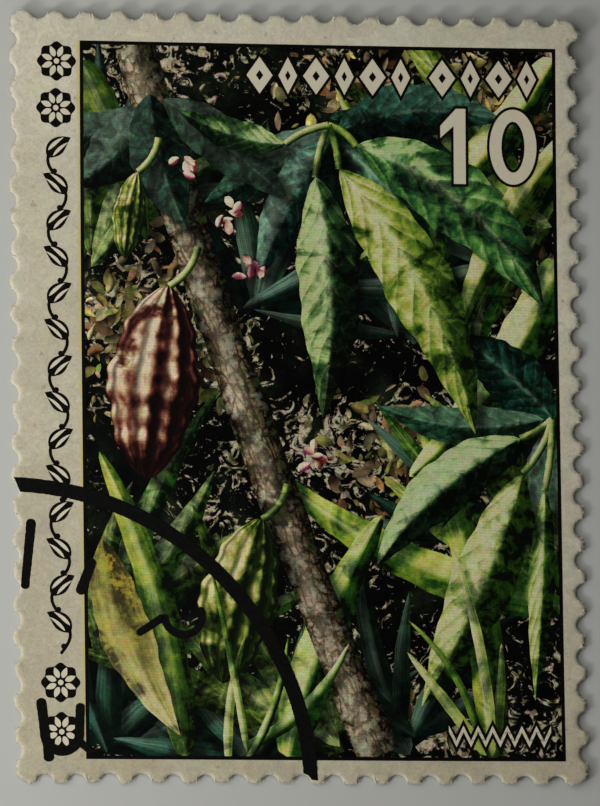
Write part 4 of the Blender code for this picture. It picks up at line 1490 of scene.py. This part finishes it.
class STAMP_OT_stage(bpy.types.Operator):
    """Sets the floor, the lights and the camera"""

    bl_idname = "stamp.stage"
    bl_label = "Stage"

    def execute(self, context):
        scene = context.scene
        settings = scene.stamp_stage
        mesh = bpy.data.meshes.new("floor")
        square = rectangle((-FLOOR_REACH, -FLOOR_REACH), (FLOOR_REACH, FLOOR_REACH))
        mesh.from_pydata([(*corner, 0.0) for corner in square], [], [(0, 1, 2, 3)])
        mesh.materials.append(plain_finish("matte_pale_floor", settings.floor, 0.85, 0.2))
        floor = bpy.data.objects.new("floor", mesh)
        scene.collection.objects.link(floor)

        scene.world = scene.world or bpy.data.worlds.new("soft_surround")
        scene.world.use_nodes = True
        background = scene.world.node_tree.nodes["Background"]
        background.inputs["Color"].default_value = linear("#F4F6FA")
        background.inputs["Strength"].default_value = settings.fill

        for name, power, size, place in (
                ("window", settings.key, 0.026, (-0.1113, -0.0695, 0.0727)),
                ("bounce", settings.bounce, 0.070, (-0.036, 0.000, 0.044))):
            lamp = bpy.data.lights.new(name, "AREA")
            lamp.energy = power
            lamp.size = size
            light = bpy.data.objects.new(name, lamp)
            light.location = place
            scene.collection.objects.link(light)
            point_at(light, (-0.003, 0.003, 0.0))

        lens = bpy.data.cameras.new("camera")
        lens.lens = settings.lens
        lens.sensor_fit = "VERTICAL"
        lens.sensor_height = 36.0
        lens.clip_start = 0.01
        lens.clip_end = 10.0
        camera = bpy.data.objects.new("camera", lens)
        target = Vector((0.159, -0.252, 0.1)) * MM
        turn, rise = settings.azimuth, settings.elevation
        bearing = Vector((math.cos(rise) * math.cos(turn), math.cos(rise) * math.sin(turn), math.sin(rise)))
        camera.location = target + bearing * settings.distance
        scene.collection.objects.link(camera)
        backward = bearing.normalized()
        right = Vector((0.0, 1.0, 0.0)).cross(backward).normalized()
        up = backward.cross(right)
        turned = Matrix((right, up, backward)).transposed() @ Matrix.Rotation(settings.roll, 3, "Z")
        camera.rotation_euler = turned.to_euler()
        scene.camera = camera
        scene.view_settings.view_transform = "Standard"
        return {"FINISHED"}


class STAMP_PT_panel(bpy.types.Panel):
    """Lists the steps of the build"""

    bl_idname = "STAMP_PT_panel"
    bl_label = "Postage Stamp"
    bl_space_type = "VIEW_3D"
    bl_region_type = "UI"
    bl_category = "Stamp"

    def draw(self, context):
        column = self.layout.column()
        for step in STEPS:
            if step is STAMP_OT_picture:
                for kind in PICTURE_PIECES:
                    column.operator(step.bl_idname, text=kind).kind = kind
            else:
                column.operator(step.bl_idname)


SETTINGS = {
    "stamp_paper": StampPaperSettings,
    "stamp_print": StampPrintSettings,
    "stamp_postmark": StampPostmarkSettings,
    "stamp_stage": StampStageSettings,
}
STEPS = (STAMP_OT_paper, STAMP_OT_panel, STAMP_OT_picture, STAMP_OT_ornaments, STAMP_OT_postmark,
         STAMP_OT_stage)


def register():
    """Adds the settings, the steps and the sidebar panel to Blender."""
    for kind in (*SETTINGS.values(), *STEPS, STAMP_PT_panel):
        bpy.utils.register_class(kind)
    for name, kind in SETTINGS.items():
        setattr(bpy.types.Scene, name, PointerProperty(type=kind))


def unregister():
    """Takes them out again."""
    for name in SETTINGS:
        delattr(bpy.types.Scene, name)
    for kind in (STAMP_PT_panel, *reversed(STEPS), *reversed(SETTINGS.values())):
        bpy.utils.unregister_class(kind)


def main():
    """Runs the steps in order."""
    register()
    bpy.ops.stamp.paper()
    bpy.ops.stamp.panel()
    for kind in PICTURE_PIECES:
        bpy.ops.stamp.picture(kind=kind)
    bpy.ops.stamp.ornaments()
    bpy.ops.stamp.postmark()
    bpy.ops.stamp.stage()


if __name__ == "__main__":
    main()
